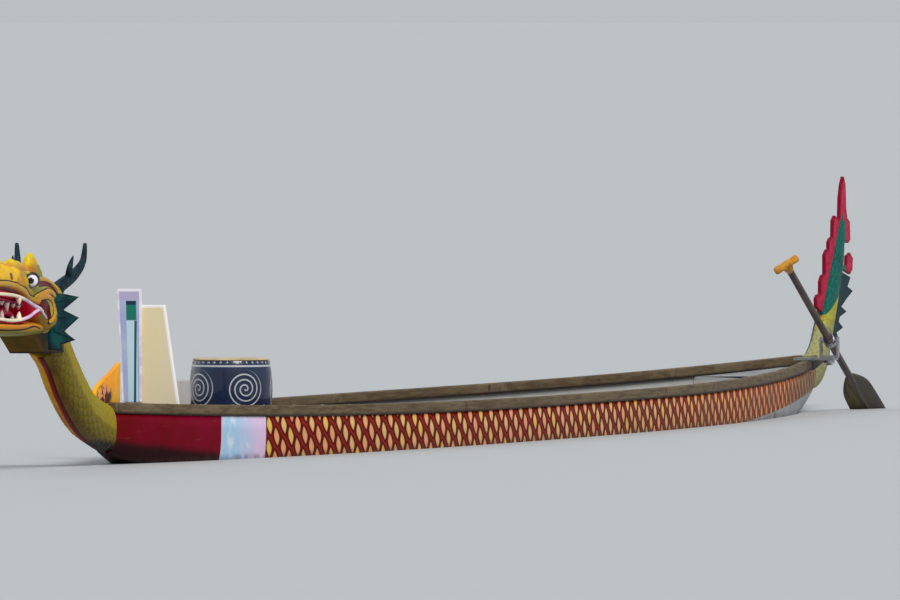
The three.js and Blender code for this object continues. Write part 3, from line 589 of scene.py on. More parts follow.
def flush_deck(name, x0, x1):
    def place(u, v):
        x = x0 + u * (x1 - x0)
        half = half_beam(x) - (rail_inward if abs(x) > abs(x1) - narrow_length else shell) - deck_gap
        angle = 2 * math.pi * v
        across, up = bent(math.cos(angle), 12), (1 + bent(math.sin(angle), 8)) / 2
        crown = deck_crown * (1 - across * across)
        return Vector((x, across * half, rim(x) - deck_gap - (1 - up) * deck_thickness + up * crown))

    mesh = fill_ends(bent_grid(60, 40, place, merge=1e-6))
    piece(mesh, name + "_moulding", "hull", deck_coat, [name], sharp=40, slot="deck_paint")


deck_setback = 0.002
flush_deck("bow_deck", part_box("bow_deck")[0][0], stem_x - deck_setback)
flush_deck("stern_deck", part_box("stern_deck")[1][0], stern_x + deck_setback)


def dress(node, finish, bevel, segments=2):
    """Gives a CAD node its finish, and rounds its edges."""
    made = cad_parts[node]
    made.data.materials.clear()
    made.data.materials.append(finish.material)
    weld = made.modifiers.new("weld", "WELD")
    weld.merge_threshold = 5e-5
    if bevel:
        edges = made.modifiers.new("rounded_edges", "BEVEL")
        edges.width, edges.segments = bevel, segments
        edges.limit_method, edges.angle_limit = "ANGLE", math.radians(35)
    return made


for name in ("bow_bulkhead", "stern_bulkhead"):
    dress(name, inner_gelcoat, 0.002)


# Benches: varnished softwood planks across the boat, worn pale in the middle of each half, and
# screwed to cleats on the hull's sides. Ribs and keelson are oiled wood, the foot rests steel.
def varnished_plank(name, light, dark, sheen=0.35):
    wood = Finish(name, coat=sheen, coat_roughness=0.18)
    worn_pale, worn_y, worn_half = (0.42, 0.33, 0.22), 0.24, 0.16
    rings = wood.grain((38, 2.2, 60), 6, roughness=0.6, distortion=0.6)
    pore = wood.grain((420, 9, 420))
    wear = wood.band(abs(wood.axis("Y")) - worn_y, worn_half, 0.1) * wood.patches(9, 5, 0.3, 0.7)
    tone = wood.blend(dark, light, wood.fade(rings, 0.36, 0.64))
    tone = wood.blend(tone, dark, wood.fade(pore, 0.6, 0.75) * 0.5)
    wood.set("Base Color", wood.blend(tone, worn_pale, wear * 0.35))
    wood.set("Roughness", 0.38 + wear * 0.3 + pore * 0.1)
    wood.relief(rings * 0.6 + pore, 0.3, 0.0008)
    return wood


bench_wood = varnished_plank("bench_wood", (0.40, 0.24, 0.11), (0.24, 0.12, 0.05))
rib_wood = varnished_plank("rib_wood", (0.25, 0.16, 0.085), (0.13, 0.075, 0.036), 0.1)
bench_nodes = [f"bench_{number:02}" for number in range(1, 11)]
for name in bench_nodes:
    dress(name, bench_wood, 0.005, 3)
for name in ("rib_01", "rib_04", "rib_07", "rib_10", "keelson_fore", "keelson_middle", "keelson_aft"):
    dress(name, rib_wood, 0.003)

bench_screws = []
screw_inset = 0.05
for name in bench_nodes:
    low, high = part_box(name)
    y = (high[1] - low[1]) / 2 - screw_inset
    for side in (1, -1):
        for share in (0.25, 0.75):
            x = low[0] + share * (high[0] - low[0])
            bench_screws.append((Vector((x, side * y, high[2])), upwards))
screw_heads("bench_screws", bench_screws, 0.0055)
dress("footrest_frame", steel, 0)


# Seat at the bow: a grey painted box, a cream board that narrows upwards behind its back, and in
# front of that a pale lane board whose blue is painted shade, with lilac edges, a green block and a
# thin dark teal line.
def seat_grey():
    paint = Finish("seat_grey", coat=0.1)
    grey, rubbed_grey = (0.50, 0.465, 0.45), (0.36, 0.33, 0.32)
    rub = paint.patches(6, 6, 0.45, 0.75)
    paint.set("Base Color", paint.blend(grey, rubbed_grey, rub * 0.6))
    paint.set("Roughness", 0.5 + rub * 0.15)
    paint.relief(paint.grain((50, 50, 9)), 0.2, 0.001)
    return paint


def cream_board():
    paint = Finish("cream_board", coat=0.2)
    y, z = paint.axis("Y"), paint.axis("Z")
    low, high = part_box("seat_back")
    cream, straw, pink = (0.72, 0.62, 0.44), (0.74, 0.63, 0.36), (0.76, 0.59, 0.53)
    border_white, stain_brown = (0.88, 0.84, 0.82), (0.30, 0.26, 0.20)
    top_half = 0.073
    streaks = paint.grain((1, 22, 0.9))
    tone = paint.blend(straw, cream, paint.fade(streaks, 0.38, 0.55))
    tone = paint.blend(tone, pink, paint.fade(streaks, 0.56, 0.68))
    half = high[1] + (top_half - high[1]) * ((z - low[2]) / (high[2] - low[2]))
    border = paint.fade(abs(y) - half, -0.012, -0.009).most(paint.fade(z - high[2], -0.013, -0.010))
    tone = paint.blend(tone, border_white, border)
    paint.set("Base Color", paint.blend(tone, stain_brown, paint.patches(14, 6, 0.62, 0.8) * 0.4))
    paint.set("Roughness", 0.42 + streaks * 0.15)
    paint.relief(streaks, 0.15, 0.001)
    return paint


def lane_board_paint():
    paint = Finish("lane_board", coat=0.25)
    low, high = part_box("lane_board")
    middle = (low[1] + high[1]) / 2
    y, z = paint.axis("Y") - middle, paint.axis("Z")
    blue, shaded_grey_blue, head_mauve = (0.34, 0.39, 0.62), (0.40, 0.47, 0.62), (0.44, 0.40, 0.58)
    lilac_white, lilac = (0.84, 0.78, 0.84), (0.66, 0.58, 0.72)
    ice_blue, teal = (0.50, 0.66, 0.74), (0.008, 0.085, 0.15)
    green, navy = (0.006, 0.17, 0.12), (0.008, 0.025, 0.06)
    block_low, block_high, block_half, block_y = 0.623, 0.710, 0.024, 0.008
    line_y, line_lean, line_half = 0.027, 0.033, 0.0065
    foot_half, head_spread = 0.045, 0.011
    soft = 0.002
    # Painted shade: the blue and grey-blue ground stands for a pale board in the shade, lit by the sky.
    tone = paint.blend(blue, shaded_grey_blue, paint.patches(9, 4, 0.35, 0.65))
    tone = paint.blend(tone, head_mauve, paint.fade(z, block_high, block_high + 0.006))
    half = foot_half + (z - low[2]) / (high[2] - low[2]) * head_spread
    edge = paint.fade(abs(y) - half, -0.011, -0.008).most(paint.fade(z - high[2], -0.013, -0.010))
    tone = paint.blend(tone, paint.blend(lilac_white, lilac, paint.patches(20, 4, 0.4, 0.65)), edge)
    below_block = paint.fade(block_low - z, 0, soft)
    column = paint.band(y - block_y, block_half, soft)
    block = column * paint.fade(z - block_low, 0, soft) * paint.fade(block_high - z, 0, soft)
    line = paint.band(y - line_y + (block_low - z) * line_lean, line_half, soft)
    tone = paint.blend(tone, ice_blue, column * below_block)
    tone = paint.blend(tone, green, block)
    tone = paint.blend(tone, navy, block * paint.fade(z - block_high, -0.020, -0.016))
    paint.set("Base Color", paint.blend(tone, teal, line * below_block))
    paint.set("Roughness", 0.34 + paint.noise(30, 4) * 0.15)
    paint.relief(paint.noise(25, 3), 0.1, 0.001)
    return paint


dress("seat_box", seat_grey(), 0.006, 3)
dress("seat_back", cream_board(), 0.005, 3)
dress("lane_board", lane_board_paint(), 0.004, 3)
seat_low, seat_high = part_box("seat_box")
seat_screw_y = 0.07
seat_screws = [
    (Vector((seat_low[0] + share * (seat_high[0] - seat_low[0]), side * seat_screw_y, seat_high[2])), upwards)
    for share in (0.15, 0.85) for side in (1, -1)]
screw_heads("seat_screws", seat_screws, 0.006)


# Drum: a barrel of staves lacquered dark blue with pale curls, two rows of domed steel pegs, and
# a hide stretched over its top. It stands on a plank between the hull's sides.
drum_low, drum_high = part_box("drum_shell")
skin_low, skin_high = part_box("drum_skin")
drum_x = (drum_low[0] + drum_high[0]) / 2
drum_belly = (drum_high[0] - drum_low[0]) / 2
drum_mouth = 0.168
drum_rise = drum_high[2] - drum_low[2]


def drum_radius(share):
    return drum_mouth + (drum_belly - drum_mouth) * math.sin(math.pi * share) ** 0.7


def drum_lacquer():
    paint = Finish("drum_lacquer", coat=0.6, coat_roughness=0.08)
    x, y, z = paint.axis("X"), paint.axis("Y"), paint.axis("Z")
    navy, blue, curl_grey = (0.008, 0.014, 0.045), (0.014, 0.03, 0.075), (0.42, 0.44, 0.47)
    curl_count, curl_reach, turns_per_metre = 5, 0.088, 42.0
    hoop_half, hoop_height = 0.005, drum_rise * 0.40
    whole_turn = 2 * math.pi
    turn = paint.node("ShaderNodeMath", {"operation": "ARCTAN2"}, {0: y, 1: x - drum_x})
    cell = (turn * (curl_count / whole_turn) + 10.0) % 1.0 - 0.5
    across = cell * (whole_turn * drum_belly / curl_count)
    up = z - (drum_low[2] + drum_rise * 0.5)
    away = (across * across + up * up) ** 0.5
    bearing = paint.node("ShaderNodeMath", {"operation": "ARCTAN2"}, {0: up, 1: across})
    wind = (away * turns_per_metre - bearing * (1 / whole_turn) + 10.0) % 1.0
    curl = paint.band(wind - 0.5, 0.16, 0.06) * paint.fade(curl_reach - away, 0, 0.006)
    hoop = paint.band(abs(up) - hoop_height, hoop_half, 0.002)
    ground = paint.blend(navy, blue, paint.patches(6, 4, 0.4, 0.7))
    paint.set("Base Color", paint.blend(ground, curl_grey, curl.most(hoop)))
    paint.set("Roughness", 0.28 + paint.noise(30, 4) * 0.12)
    paint.relief(curl * 0.6 + paint.noise(8, 3) * 0.3, 0.25, 0.0015)
    return paint


def hide():
    skin = Finish("drum_hide")
    x, y = skin.axis("X") - drum_x, skin.axis("Y")
    buff, brown, beaten_buff = (0.52, 0.43, 0.28), (0.37, 0.27, 0.15), (0.60, 0.53, 0.40)
    beaten_radius = 0.09
    away = (x * x + y * y) ** 0.5
    blotch = skin.noise(9, 6)
    tone = skin.blend(buff, brown, skin.fade(blotch, 0.4, 0.7))
    beaten = skin.fade(beaten_radius - away, 0, 0.05) * skin.patches(24, 5, 0.3, 0.6)
    skin.set("Base Color", skin.blend(tone, beaten_buff, beaten * 0.6))
    skin.set("Roughness", 0.55 + blotch * 0.15)
    skin.relief(skin.noise(120, 5) + blotch * 0.6, 0.3, 0.0008)
    return skin


def spun(profile, steps, at=(0, 0, 0), axis=None):
    """A closed form turned from a profile of radii and heights that starts and ends on the axis,
    which then points along another axis, if one is given."""
    mesh = bmesh.new()
    verts = [mesh.verts.new((radius, 0, height)) for radius, height in profile]
    edges = [mesh.edges.new(pair) for pair in zip(verts, verts[1:])]
    bmesh.ops.spin(
        mesh, geom=verts + edges, axis=(0, 0, 1), cent=(0, 0, 0), angle=2 * math.pi,
        steps=steps, use_merge=True)
    bmesh.ops.remove_doubles(mesh, verts=mesh.verts, dist=1e-6)
    bmesh.ops.recalc_face_normals(mesh, faces=mesh.faces)
    matrix = Matrix.Translation(at)
    if axis:
        matrix = matrix @ Vector(axis).to_track_quat("Z", "Y").to_matrix().to_4x4()
    bmesh.ops.transform(mesh, matrix=matrix, verts=mesh.verts)
    return mesh


def joined(meshes):
    """One bmesh that holds several."""
    whole = bmesh.new()
    for mesh in meshes:
        data = bpy.data.meshes.new("part")
        mesh.to_mesh(data)
        mesh.free()
        whole.from_mesh(data)
        bpy.data.meshes.remove(data)
    return whole


stave_steps = 24
barrel = [(0, 0)] + [(drum_radius(i / stave_steps), drum_rise * i / stave_steps)
                     for i in range(stave_steps + 1)] + [(0, drum_rise)]
piece(spun(barrel, 96, (drum_x, 0, drum_low[2])), "drum_barrel", "hull", drum_lacquer(),
      ["drum_shell"], slot="drum_lacquer")
hide_rise = skin_high[2] - skin_low[2]
hide_profile = [
    (0, 0), (drum_mouth + 0.004, 0), (drum_mouth + 0.004, hide_rise * 0.4),
    (drum_mouth + 0.001, hide_rise * 0.8), (drum_mouth - 0.006, hide_rise),
    (drum_mouth - 0.02, hide_rise * 0.92), (0.08, hide_rise * 0.88), (0, hide_rise * 0.88)]
piece(spun(hide_profile, 96, (drum_x, 0, skin_low[2])), "drum_head", "hull", hide(), ["drum_skin"],
      slot="drum_hide")
peg_places = []
peg_count = 36
for number in range(peg_count):
    for share in (0.955, 0.05):
        angle = 2 * math.pi * number / peg_count
        out = Vector((math.cos(angle), math.sin(angle), 0))
        foot = Vector((drum_x, 0, drum_low[2] + drum_rise * share))
        peg_places.append((foot + out * drum_radius(share), out))
screw_heads("drum_pegs", peg_places, 0.0065)
dress("drum_shelf", bench_wood, 0.004, 3)


# Neck: carved from a laminated block and dowelled to the stem. Its front edge is a rounded keel
# with a dark red stripe down it, the sides are overlapping olive scales, lighter at the back.
neck_rows = [  # distance forward of the stem, height, half depth, half width, slope in degrees
    (0.0003, 0.161, 0.101, 0.054, 0),
    (0.150, 0.188, 0.100, 0.057, 12),
    (0.350, 0.238, 0.101, 0.063, 22),
    (0.510, 0.314, 0.108, 0.066, 33),
    (0.668, 0.414, 0.112, 0.066, 40),
    (0.805, 0.517, 0.106, 0.067, 37),
    (0.950, 0.587, 0.100, 0.074, 16),
]


def smooth_row(rows, share):
    """A row between the rows of a table, on a smooth line through them."""
    at = min(max(share, 0), 1) * (len(rows) - 1)
    first = min(int(at), len(rows) - 2)
    t = at - first
    around = [rows[min(max(first + step, 0), len(rows) - 1)] for step in (-1, 0, 1, 2)]
    return [
        b + 0.5 * t * (c - a + t * (2 * a - 5 * b + 4 * c - d + t * (3 * b - a - 3 * c + d)))
        for a, b, c, d in zip(*around)]


def trunk_point(rows, root_x, forward, along, turn, power, swell):
    """A point on a body along a bent line; turn 0.25 is its back and 0.75 its front edge."""
    distance, z, depth, width, slope = smooth_row(rows, along)
    across = bent(math.cos(2 * math.pi * turn), power) * (width + swell)
    up = bent(math.sin(2 * math.pi * turn), power) * (depth + swell)
    tilt = math.radians(slope)
    return Vector((root_x + forward * (distance - math.sin(tilt) * up), across, z + math.cos(tilt) * up))


def scale_height(along, around):
    """How high a point lies on overlapping scales, 0 between them and 1 on their free ends. Both
    places are in scales."""
    side_length, tip_length = 0.75, 0.75
    edge, edge_height, root_height = 0.12, 0.25, 0.3
    first = math.floor(along)
    for row in (first - 1, first):
        across = ((around + 0.5 * (row % 2)) % 1 - 0.5) * 2
        back = along - row
        reach = side_length + tip_length * math.sqrt(max(0, 1 - across * across))
        if back < reach - edge:
            return root_height + (1 - root_height) * (back / reach) ** 1.5
        if back < reach:
            return edge_height
    return 0.0


def scaled_skin(name, light, middle, dark):
    """A matt paint, and its colour over the scales that a mesh holds as its scale."""
    paint = Finish(name, coat=0.03, gloss=0.06)
    scale = paint.painted("scale")
    tone = paint.blend(dark, middle, paint.fade(scale, 0.12, 0.5))
    return paint, paint.blend(tone, light, paint.fade(scale, 0.6, 1.0))


neck_scales_along, neck_scales_around = 26, 14
neck_stripe_half, neck_band_half = 0.021, 0.066  # shares of the way round, from the front edge


def neck_paint():
    light_olive, olive, dark_olive = (0.190, 0.150, 0.008), (0.150, 0.110, 0.006), (0.070, 0.048, 0.004)
    back_gold, side_brown = (0.34, 0.26, 0.014), (0.110, 0.060, 0.006)
    gold, deep_gold = (0.62, 0.30, 0.012), (0.42, 0.15, 0.010)
    ochre, shaded_deep_ochre = (0.15, 0.085, 0.008), (0.095, 0.050, 0.006)
    red, shaded_stripe_red = (0.26, 0.020, 0.006), (0.060, 0.003, 0.003)
    grime, neck_foot_shade_black = (0.03, 0.02, 0.015), (0.010, 0.007, 0.009)
    starboard_spread, neck_foot_shade_top = 0.085, 0.125
    paint, scales = scaled_skin("neck_paint", light_olive, olive, dark_olive)
    front, port = paint.painted("front"), paint.painted("port")
    mottle = paint.noise(9, 4)
    clouds = paint.fade(mottle, 0.35, 0.65)
    tone = paint.blend(scales, back_gold, paint.fade(front + mottle * 0.12, 0.20, 0.54) * 0.8)
    tone = paint.blend(tone, side_brown, paint.fade(0.15 - front, 0, 0.07) * 0.6)
    # The gold band and red stripe are lighter on their starboard half and darker, ochre and dark red, on
    # their port half: painted light and shade over their own gold and red.
    band = paint.blend(
        paint.blend(gold, deep_gold, clouds), paint.blend(ochre, shaded_deep_ochre, clouds), port)
    band_half = neck_band_half + starboard_spread * (1 - port)
    tone = paint.blend(tone, band, paint.fade(band_half - front, 0, 0.008))
    stripe = paint.blend(red, shaded_stripe_red, paint.fade(port, 0.2, 0.8))
    tone = paint.blend(tone, stripe, paint.fade(neck_stripe_half - front, 0, 0.005))
    tone = paint.blend(tone, grime, paint.patches(7, 6, 0.58, 0.78) * 0.3)
    # Painted shade under the neck's front edge, low down by the deck.
    neck_foot_shade = paint.fade(neck_foot_shade_top - paint.axis("Z"), 0, 0.03) * paint.fade(0.20 - front, 0, 0.08)
    paint.set("Base Color", paint.blend(tone, neck_foot_shade_black, neck_foot_shade * 0.9))
    paint.set("Roughness", 0.34 + paint.noise(20, 4) * 0.2)
    paint.relief(paint.noise(60, 4), 0.2, 0.001)
    return paint


def neck():
    scale_rise, keel_rise = 0.0045, 0.010

    def front(turn):
        return abs(turn - 0.75)

    def scales(u, v):
        return scale_height(u * neck_scales_along, v * neck_scales_around)

    def carved(u, v):
        rise = scale_rise * scales(u, v) if front(v) > neck_band_half + 0.01 else 0
        keel_roll = keel_rise * math.exp(-(front(v) / neck_stripe_half) ** 4)
        return trunk_point(neck_rows, stem_x, 1, u, v, 2.6, rise + keel_roll)

    paints = [
        ("front", lambda u, v, co: front(v)),
        ("port", lambda u, v, co: min(1, max(0, (v - 0.75) / neck_stripe_half / 2 + 0.5))),
        ("scale", lambda u, v, co: scales(u, v)),
    ]
    mesh = fill_ends(bent_grid(260, 168, carved, 1e-6, paints))
    piece(mesh, "neck_carving", "hull", neck_paint(), ["neck"], sharp=60, slot="neck_paint")


neck()


# Neck fin: a board let into the deck behind the neck, painted orange with a dark mottled cloud.
def board(outline, half, y=0.0):
    """A board cut to an outline in an upright plane along the boat, its edges rounded."""
    rounding = 0.004
    mesh = bmesh.new()
    face = mesh.faces.new([mesh.verts.new((x, y - half, z)) for x, z in outline])
    made = bmesh.ops.extrude_face_region(mesh, geom=[face])
    moved = [item for item in made["geom"] if isinstance(item, bmesh.types.BMVert)]
    bmesh.ops.translate(mesh, verts=moved, vec=(0, 2 * half, 0))
    bmesh.ops.recalc_face_normals(mesh, faces=mesh.faces)
    bmesh.ops.bevel(mesh, geom=mesh.edges[:], affect="EDGES", offset=rounding, segments=3, profile=0.5,
                    material=-1, clamp_overlap=True)
    return mesh


def rounded_line(points, steps=6):
    """The points of a smooth line through some, all of the same number of columns."""
    count = (len(points) - 1) * steps
    return [tuple(smooth_row(points, number / count)) for number in range(count + 1)]


def cloud_board():
    paint = Finish("fin_paint", coat=0.05, gloss=0.1)
    orange, gold = (0.88, 0.30, 0.004), (0.84, 0.42, 0.012)
    cloud_brown, fleck_pink = (0.07, 0.008, 0.008), (0.62, 0.24, 0.20)
    cloud_x, cloud_z, cloud_flatness = 6.27, 0.305, 6
    across, up = paint.axis("X") - cloud_x, paint.axis("Z") - cloud_z
    away = (across * across + up * up * cloud_flatness) ** 0.5
    swirl = paint.noise(24, 3, distortion=1.4)
    tone = paint.blend(orange, gold, paint.patches(9, 4, 0.35, 0.65))
    tone = paint.blend(tone, cloud_brown, paint.fade(away, 0.14, 0.09) * paint.fade(swirl, 0.42, 0.48))
    tone = paint.blend(tone, fleck_pink, paint.fade(away, 0.12, 0.07) * paint.fade(swirl, 0.40, 0.36))
    paint.set("Base Color", tone)
    paint.set("Roughness", 0.36 + paint.noise(30, 4) * 0.2)
    paint.relief(swirl * 0.4 + paint.noise(50, 3) * 0.3, 0.2, 0.001)
    return paint


fin_rear, fin_half = 6.020, 0.009
fin_crest = rounded_line([
    (fin_rear, 0.448), (6.126, 0.415), (6.250, 0.382), (6.374, 0.348), (6.412, 0.308), (6.388, 0.262)], 4)
fin_foot = [(x, rim(x) + 0.004) for x in (6.30, 6.20, 6.10, fin_rear)]
piece(board(fin_crest + fin_foot, fin_half), "neck_fin_board", "hull", cloud_board(), ["neck_fin"],
      slot="fin_paint")


# Head: carved from glued planks and hollowed, with a lumpy yellow brow and snout, orange lips and
# cheek scrolls that stand proud of dark red grooves, and black outlines.
head_rows = [  # distance forward of the stem, underside, top, half width
    (0.948, 0.690, 0.745, 0.040),
    (0.960, 0.640, 0.792, 0.096),
    (1.060, 0.600, 0.824, 0.128),
    (1.200, 0.590, 0.842, 0.142),
    (1.340, 0.600, 0.852, 0.145),
    (1.440, 0.664, 0.866, 0.140),
    (1.560, 0.730, 0.876, 0.130),
    (1.720, 0.744, 0.890, 0.120),
    (1.880, 0.760, 0.896, 0.114),
    (1.980, 0.776, 0.868, 0.098),
    (2.024, 0.790, 0.840, 0.066),
    (2.030, 0.806, 0.824, 0.020),
]
raised_scrolls = [  # half width, and the distances and heights of a line on the side
    (0.0125, [(2.03, 0.818), (1.895, 0.818), (1.770, 0.808), (1.671, 0.792), (1.600, 0.770), (1.545, 0.748),
              (1.450, 0.735)]),
    (0.009, [(1.458, 0.826), (1.344, 0.834), (1.235, 0.826), (1.172, 0.803), (1.158, 0.768), (1.180, 0.742)]),
    (0.011, [(1.505, 0.756), (1.420, 0.771), (1.319, 0.779), (1.244, 0.762), (1.206, 0.727), (1.199, 0.676),
             (1.218, 0.630), (1.275, 0.608)]),
    (0.010, [(1.490, 0.742), (1.395, 0.758), (1.304, 0.748), (1.274, 0.718), (1.284, 0.680), (1.320, 0.650)]),
]
sunk_scrolls = [  # as the raised ones
    (0.0145, [(2.03, 0.797), (1.920, 0.794), (1.795, 0.786), (1.696, 0.772), (1.633, 0.752), (1.575, 0.733)]),
    (0.011, [(1.460, 0.816), (1.320, 0.815), (1.235, 0.796), (1.195, 0.764)]),
    (0.019, [(1.435, 0.724), (1.400, 0.716), (1.352, 0.700)]), (0.014, [(1.352, 0.704), (1.340, 0.676)]),
]


def nearest(distance, height, lines):
    """How near a point is to one of the lines, 1 on it and a half at its edge."""
    best = 0
    place = Vector((distance, height, 0))
    for half, points in lines:
        for first, second in zip(points, points[1:]):
            a, b = Vector((*first, 0)), Vector((*second, 0))
            foot, share = intersect_point_line(place, a, b)
            foot = a if share < 0 else b if share > 1 else foot
            best = max(best, 1 - (place - foot).length / (2 * half))
    return best


def near_on_side(co, lines):
    """The same for a point of the head's surface, seen from the side."""
    return nearest(co.x - stem_x, co.z, lines)


def smoothed(lines):
    return [(half, rounded_line(points, 4)) for half, points in lines]


raised_lines, sunk_lines = smoothed(raised_scrolls), smoothed(sunk_scrolls)
eye_places = [Vector((stem_x + 1.560, side * 0.134, 0.828)) for side in (1, -1)]
eye_radius = 0.027
head_lumps = [  # distance forward of the stem, side, height, radius and rise of a rounded lump
    (1.90, 0.055, 0.890, 0.060, 0.020),
    (1.78, 0.070, 0.885, 0.065, 0.016),
    (1.66, 0.085, 0.868, 0.055, 0.014),
    (1.52, 0.120, 0.865, 0.055, 0.014),
    (1.40, 0.100, 0.860, 0.060, 0.008),
    (1.28, 0.080, 0.850, 0.065, 0.006),
    (1.16, 0.060, 0.840, 0.060, 0.008),
    (1.62, 0.125, 0.820, 0.040, 0.008),
    (1.75, 0.118, 0.835, 0.045, 0.008),
    (1.97, 0.060, 0.850, 0.040, 0.014),
    (1.40, 0.145, 0.700, 0.070, 0.010),
    (1.30, 0.148, 0.650, 0.070, 0.010),
    (1.24, 0.142, 0.640, 0.100, 0.014),
]


def carved_point(rows, along, turn, power, swell=0.0):
    """A point on a body that lies level; its rows are as the head's."""
    distance, low, high, width = smooth_row(rows, along)
    across = bent(math.cos(2 * math.pi * turn), power)
    up = bent(math.sin(2 * math.pi * turn), power)
    return Vector((
        stem_x + distance, across * (width + swell), (low + high) / 2 + up * ((high - low) / 2 + swell)))


def head_paint():
    paint = Finish("head_paint", coat=0.12, gloss=0.12)
    ochre, olive_gold = (0.28, 0.19, 0.012), (0.38, 0.30, 0.014)
    lump_yellow, moss = (0.62, 0.44, 0.010), (0.17, 0.19, 0.03)
    snout_yellow, snout_orange, chin_brown = (0.78, 0.46, 0.008), (0.58, 0.22, 0.006), (0.30, 0.13, 0.010)
    mouth_red, outline_black, groove_red = (0.78, 0.012, 0.055), (0.012, 0.008, 0.008), (0.12, 0.002, 0.004)
    scroll_orange, scroll_olive = (0.58, 0.24, 0.010), (0.46, 0.28, 0.03)
    socket_black, spot_brown, spot_red = (0.01, 0.008, 0.008), (0.09, 0.012, 0.010), (0.38, 0.020, 0.030)
    snout_from, snout_to = stem_x + 1.60, stem_x + 1.68
    raised, sunk, lump = paint.painted("raised"), paint.painted("sunk"), paint.painted("lump")
    inside = paint.painted("inside")
    outside = paint.fade(inside, 0.6, 0.4)
    mottle = paint.noise(13, 4)
    tone = paint.blend(ochre, olive_gold, paint.fade(mottle, 0.35, 0.65))
    tone = paint.blend(tone, lump_yellow, paint.fade(lump, 0.2, 0.9))
    tone = paint.blend(tone, moss, paint.patches(8, 3, 0.50, 0.64) * 0.8)
    snout = paint.blend(snout_yellow, snout_orange, paint.patches(10, 3, 0.45, 0.60))
    tone = paint.blend(tone, snout, paint.fade(paint.axis("X"), snout_from, snout_to) * 0.9)
    tone = paint.blend(tone, chin_brown, paint.fade(0.72 - paint.axis("Z"), 0, 0.09) * 0.8)
    tone = paint.blend(tone, mouth_red, paint.fade(inside, 0.4, 0.6))
    tone = paint.blend(tone, outline_black, paint.fade(raised.most(sunk), 0.22, 0.30) * outside)
    tone = paint.blend(tone, groove_red, paint.fade(sunk, 0.46, 0.54) * outside)
    scroll = paint.blend(scroll_orange, scroll_olive, paint.patches(20, 3, 0.4, 0.6))
    tone = paint.blend(tone, scroll, paint.fade(raised, 0.46, 0.54))
    for eye_place in eye_places:
        from_eye = paint.away(eye_place)
        from_spot = paint.away((stem_x + 1.807, math.copysign(0.120, eye_place.y), 0.850))
        tone = paint.blend(tone, socket_black, paint.fade(from_eye, eye_radius + 0.010, eye_radius + 0.006))
        tone = paint.blend(tone, spot_brown, paint.fade(from_spot, 0.020, 0.014))
        tone = paint.blend(tone, spot_red, paint.fade(from_spot, 0.012, 0.008))
    paint.set("Base Color", tone)
    paint.set("Roughness", 0.3 + mottle * 0.2)
    paint.relief(paint.noise(45, 4), 0.25, 0.0012)
    return paint


def skull():
    roll_rise, groove_depth, lump_full = 0.009, 0.008, 0.012
    mouth_from, mouth_turns = stem_x + 1.42, (0.59, 0.91)

    def scrolls(co):
        roll = roll_rise * max(0, near_on_side(co, raised_lines) - 0.45) ** 0.5
        return roll - groove_depth * min(1, max(0, near_on_side(co, sunk_lines) - 0.35) * 3)

    def lumps(co):
        swell = 0
        for distance, y, z, radius, rise in head_lumps:
            away = (Vector((co.x - stem_x, abs(co.y), co.z)) - Vector((distance, y, z))).length / radius
            swell += rise * max(0, 1 - away * away) ** 2
        return swell

    def place(u, v):
        co = carved_point(head_rows, u, v, 2.8)
        on_side = min(1, max(0, abs(math.cos(2 * math.pi * v)) * 3 - 0.6))
        return carved_point(head_rows, u, v, 2.8, scrolls(co) * on_side + lumps(co))

    def in_mouth(u, v, co):
        return 1.0 if mouth_turns[0] < v < mouth_turns[1] and co.x > mouth_from else 0.0

    paints = [
        ("raised", lambda u, v, co: near_on_side(co, raised_lines)),
        ("sunk", lambda u, v, co: near_on_side(co, sunk_lines)),
        ("lump", lambda u, v, co: min(1, lumps(co) / lump_full)),
        ("inside", in_mouth),
    ]
    mesh = fill_ends(bent_grid(230, 170, place, 1e-6, paints))
    piece(mesh, "skull_carving", "hull", head_paint(), ["head_skull"], sharp=60, slot="head_paint")


skull()


# Jaw: its own carving, glued on below, orange along the lip and olive underneath, with a dark
# outline and a scroll at its hinge.
jaw_rows = [  # as the head's
    (1.330, 0.594, 0.600, 0.100),
    (1.400, 0.590, 0.640, 0.132),
    (1.560, 0.588, 0.652, 0.128),
    (1.760, 0.592, 0.656, 0.112),
    (1.900, 0.602, 0.664, 0.092),
    (1.955, 0.622, 0.666, 0.062),
    (1.960, 0.640, 0.652, 0.020),
]
jaw_raised = smoothed([
    (0.0105, [(1.950, 0.638), (1.880, 0.635), (1.795, 0.632), (1.633, 0.634), (1.520, 0.646), (1.430, 0.640),
              (1.370, 0.622)])])
jaw_lined = smoothed([
    (0.004, [(1.950, 0.652), (1.795, 0.648), (1.683, 0.645), (1.570, 0.653), (1.483, 0.665)]),
    (0.0035, [(1.950, 0.622), (1.795, 0.617), (1.633, 0.619), (1.500, 0.630), (1.430, 0.618)])])


def jaw_paint():
    paint = Finish("jaw_paint", coat=0.05, gloss=0.06)
    olive, light_olive, rim_orange = (0.14, 0.14, 0.006), (0.23, 0.18, 0.008), (0.42, 0.17, 0.010)
    roll_orange, outline_brown, mouth_red = (0.58, 0.22, 0.010), (0.03, 0.008, 0.006), (0.70, 0.012, 0.050)
    tone = paint.blend(olive, light_olive, paint.patches(12, 4, 0.35, 0.65))
    tone = paint.blend(tone, rim_orange, paint.fade(paint.axis("Z"), 0.606, 0.632))
    tone = paint.blend(tone, roll_orange, paint.fade(paint.painted("raised"), 0.4, 0.55))
    tone = paint.blend(tone, outline_brown, paint.fade(paint.painted("lined"), 0.4, 0.6))
    tone = paint.blend(tone, mouth_red, paint.fade(paint.painted("inside"), 0.4, 0.6))
    paint.set("Base Color", tone)
    paint.set("Roughness", 0.32 + paint.noise(20, 4) * 0.2)
    paint.relief(paint.noise(45, 4), 0.25, 0.0012)
    return paint


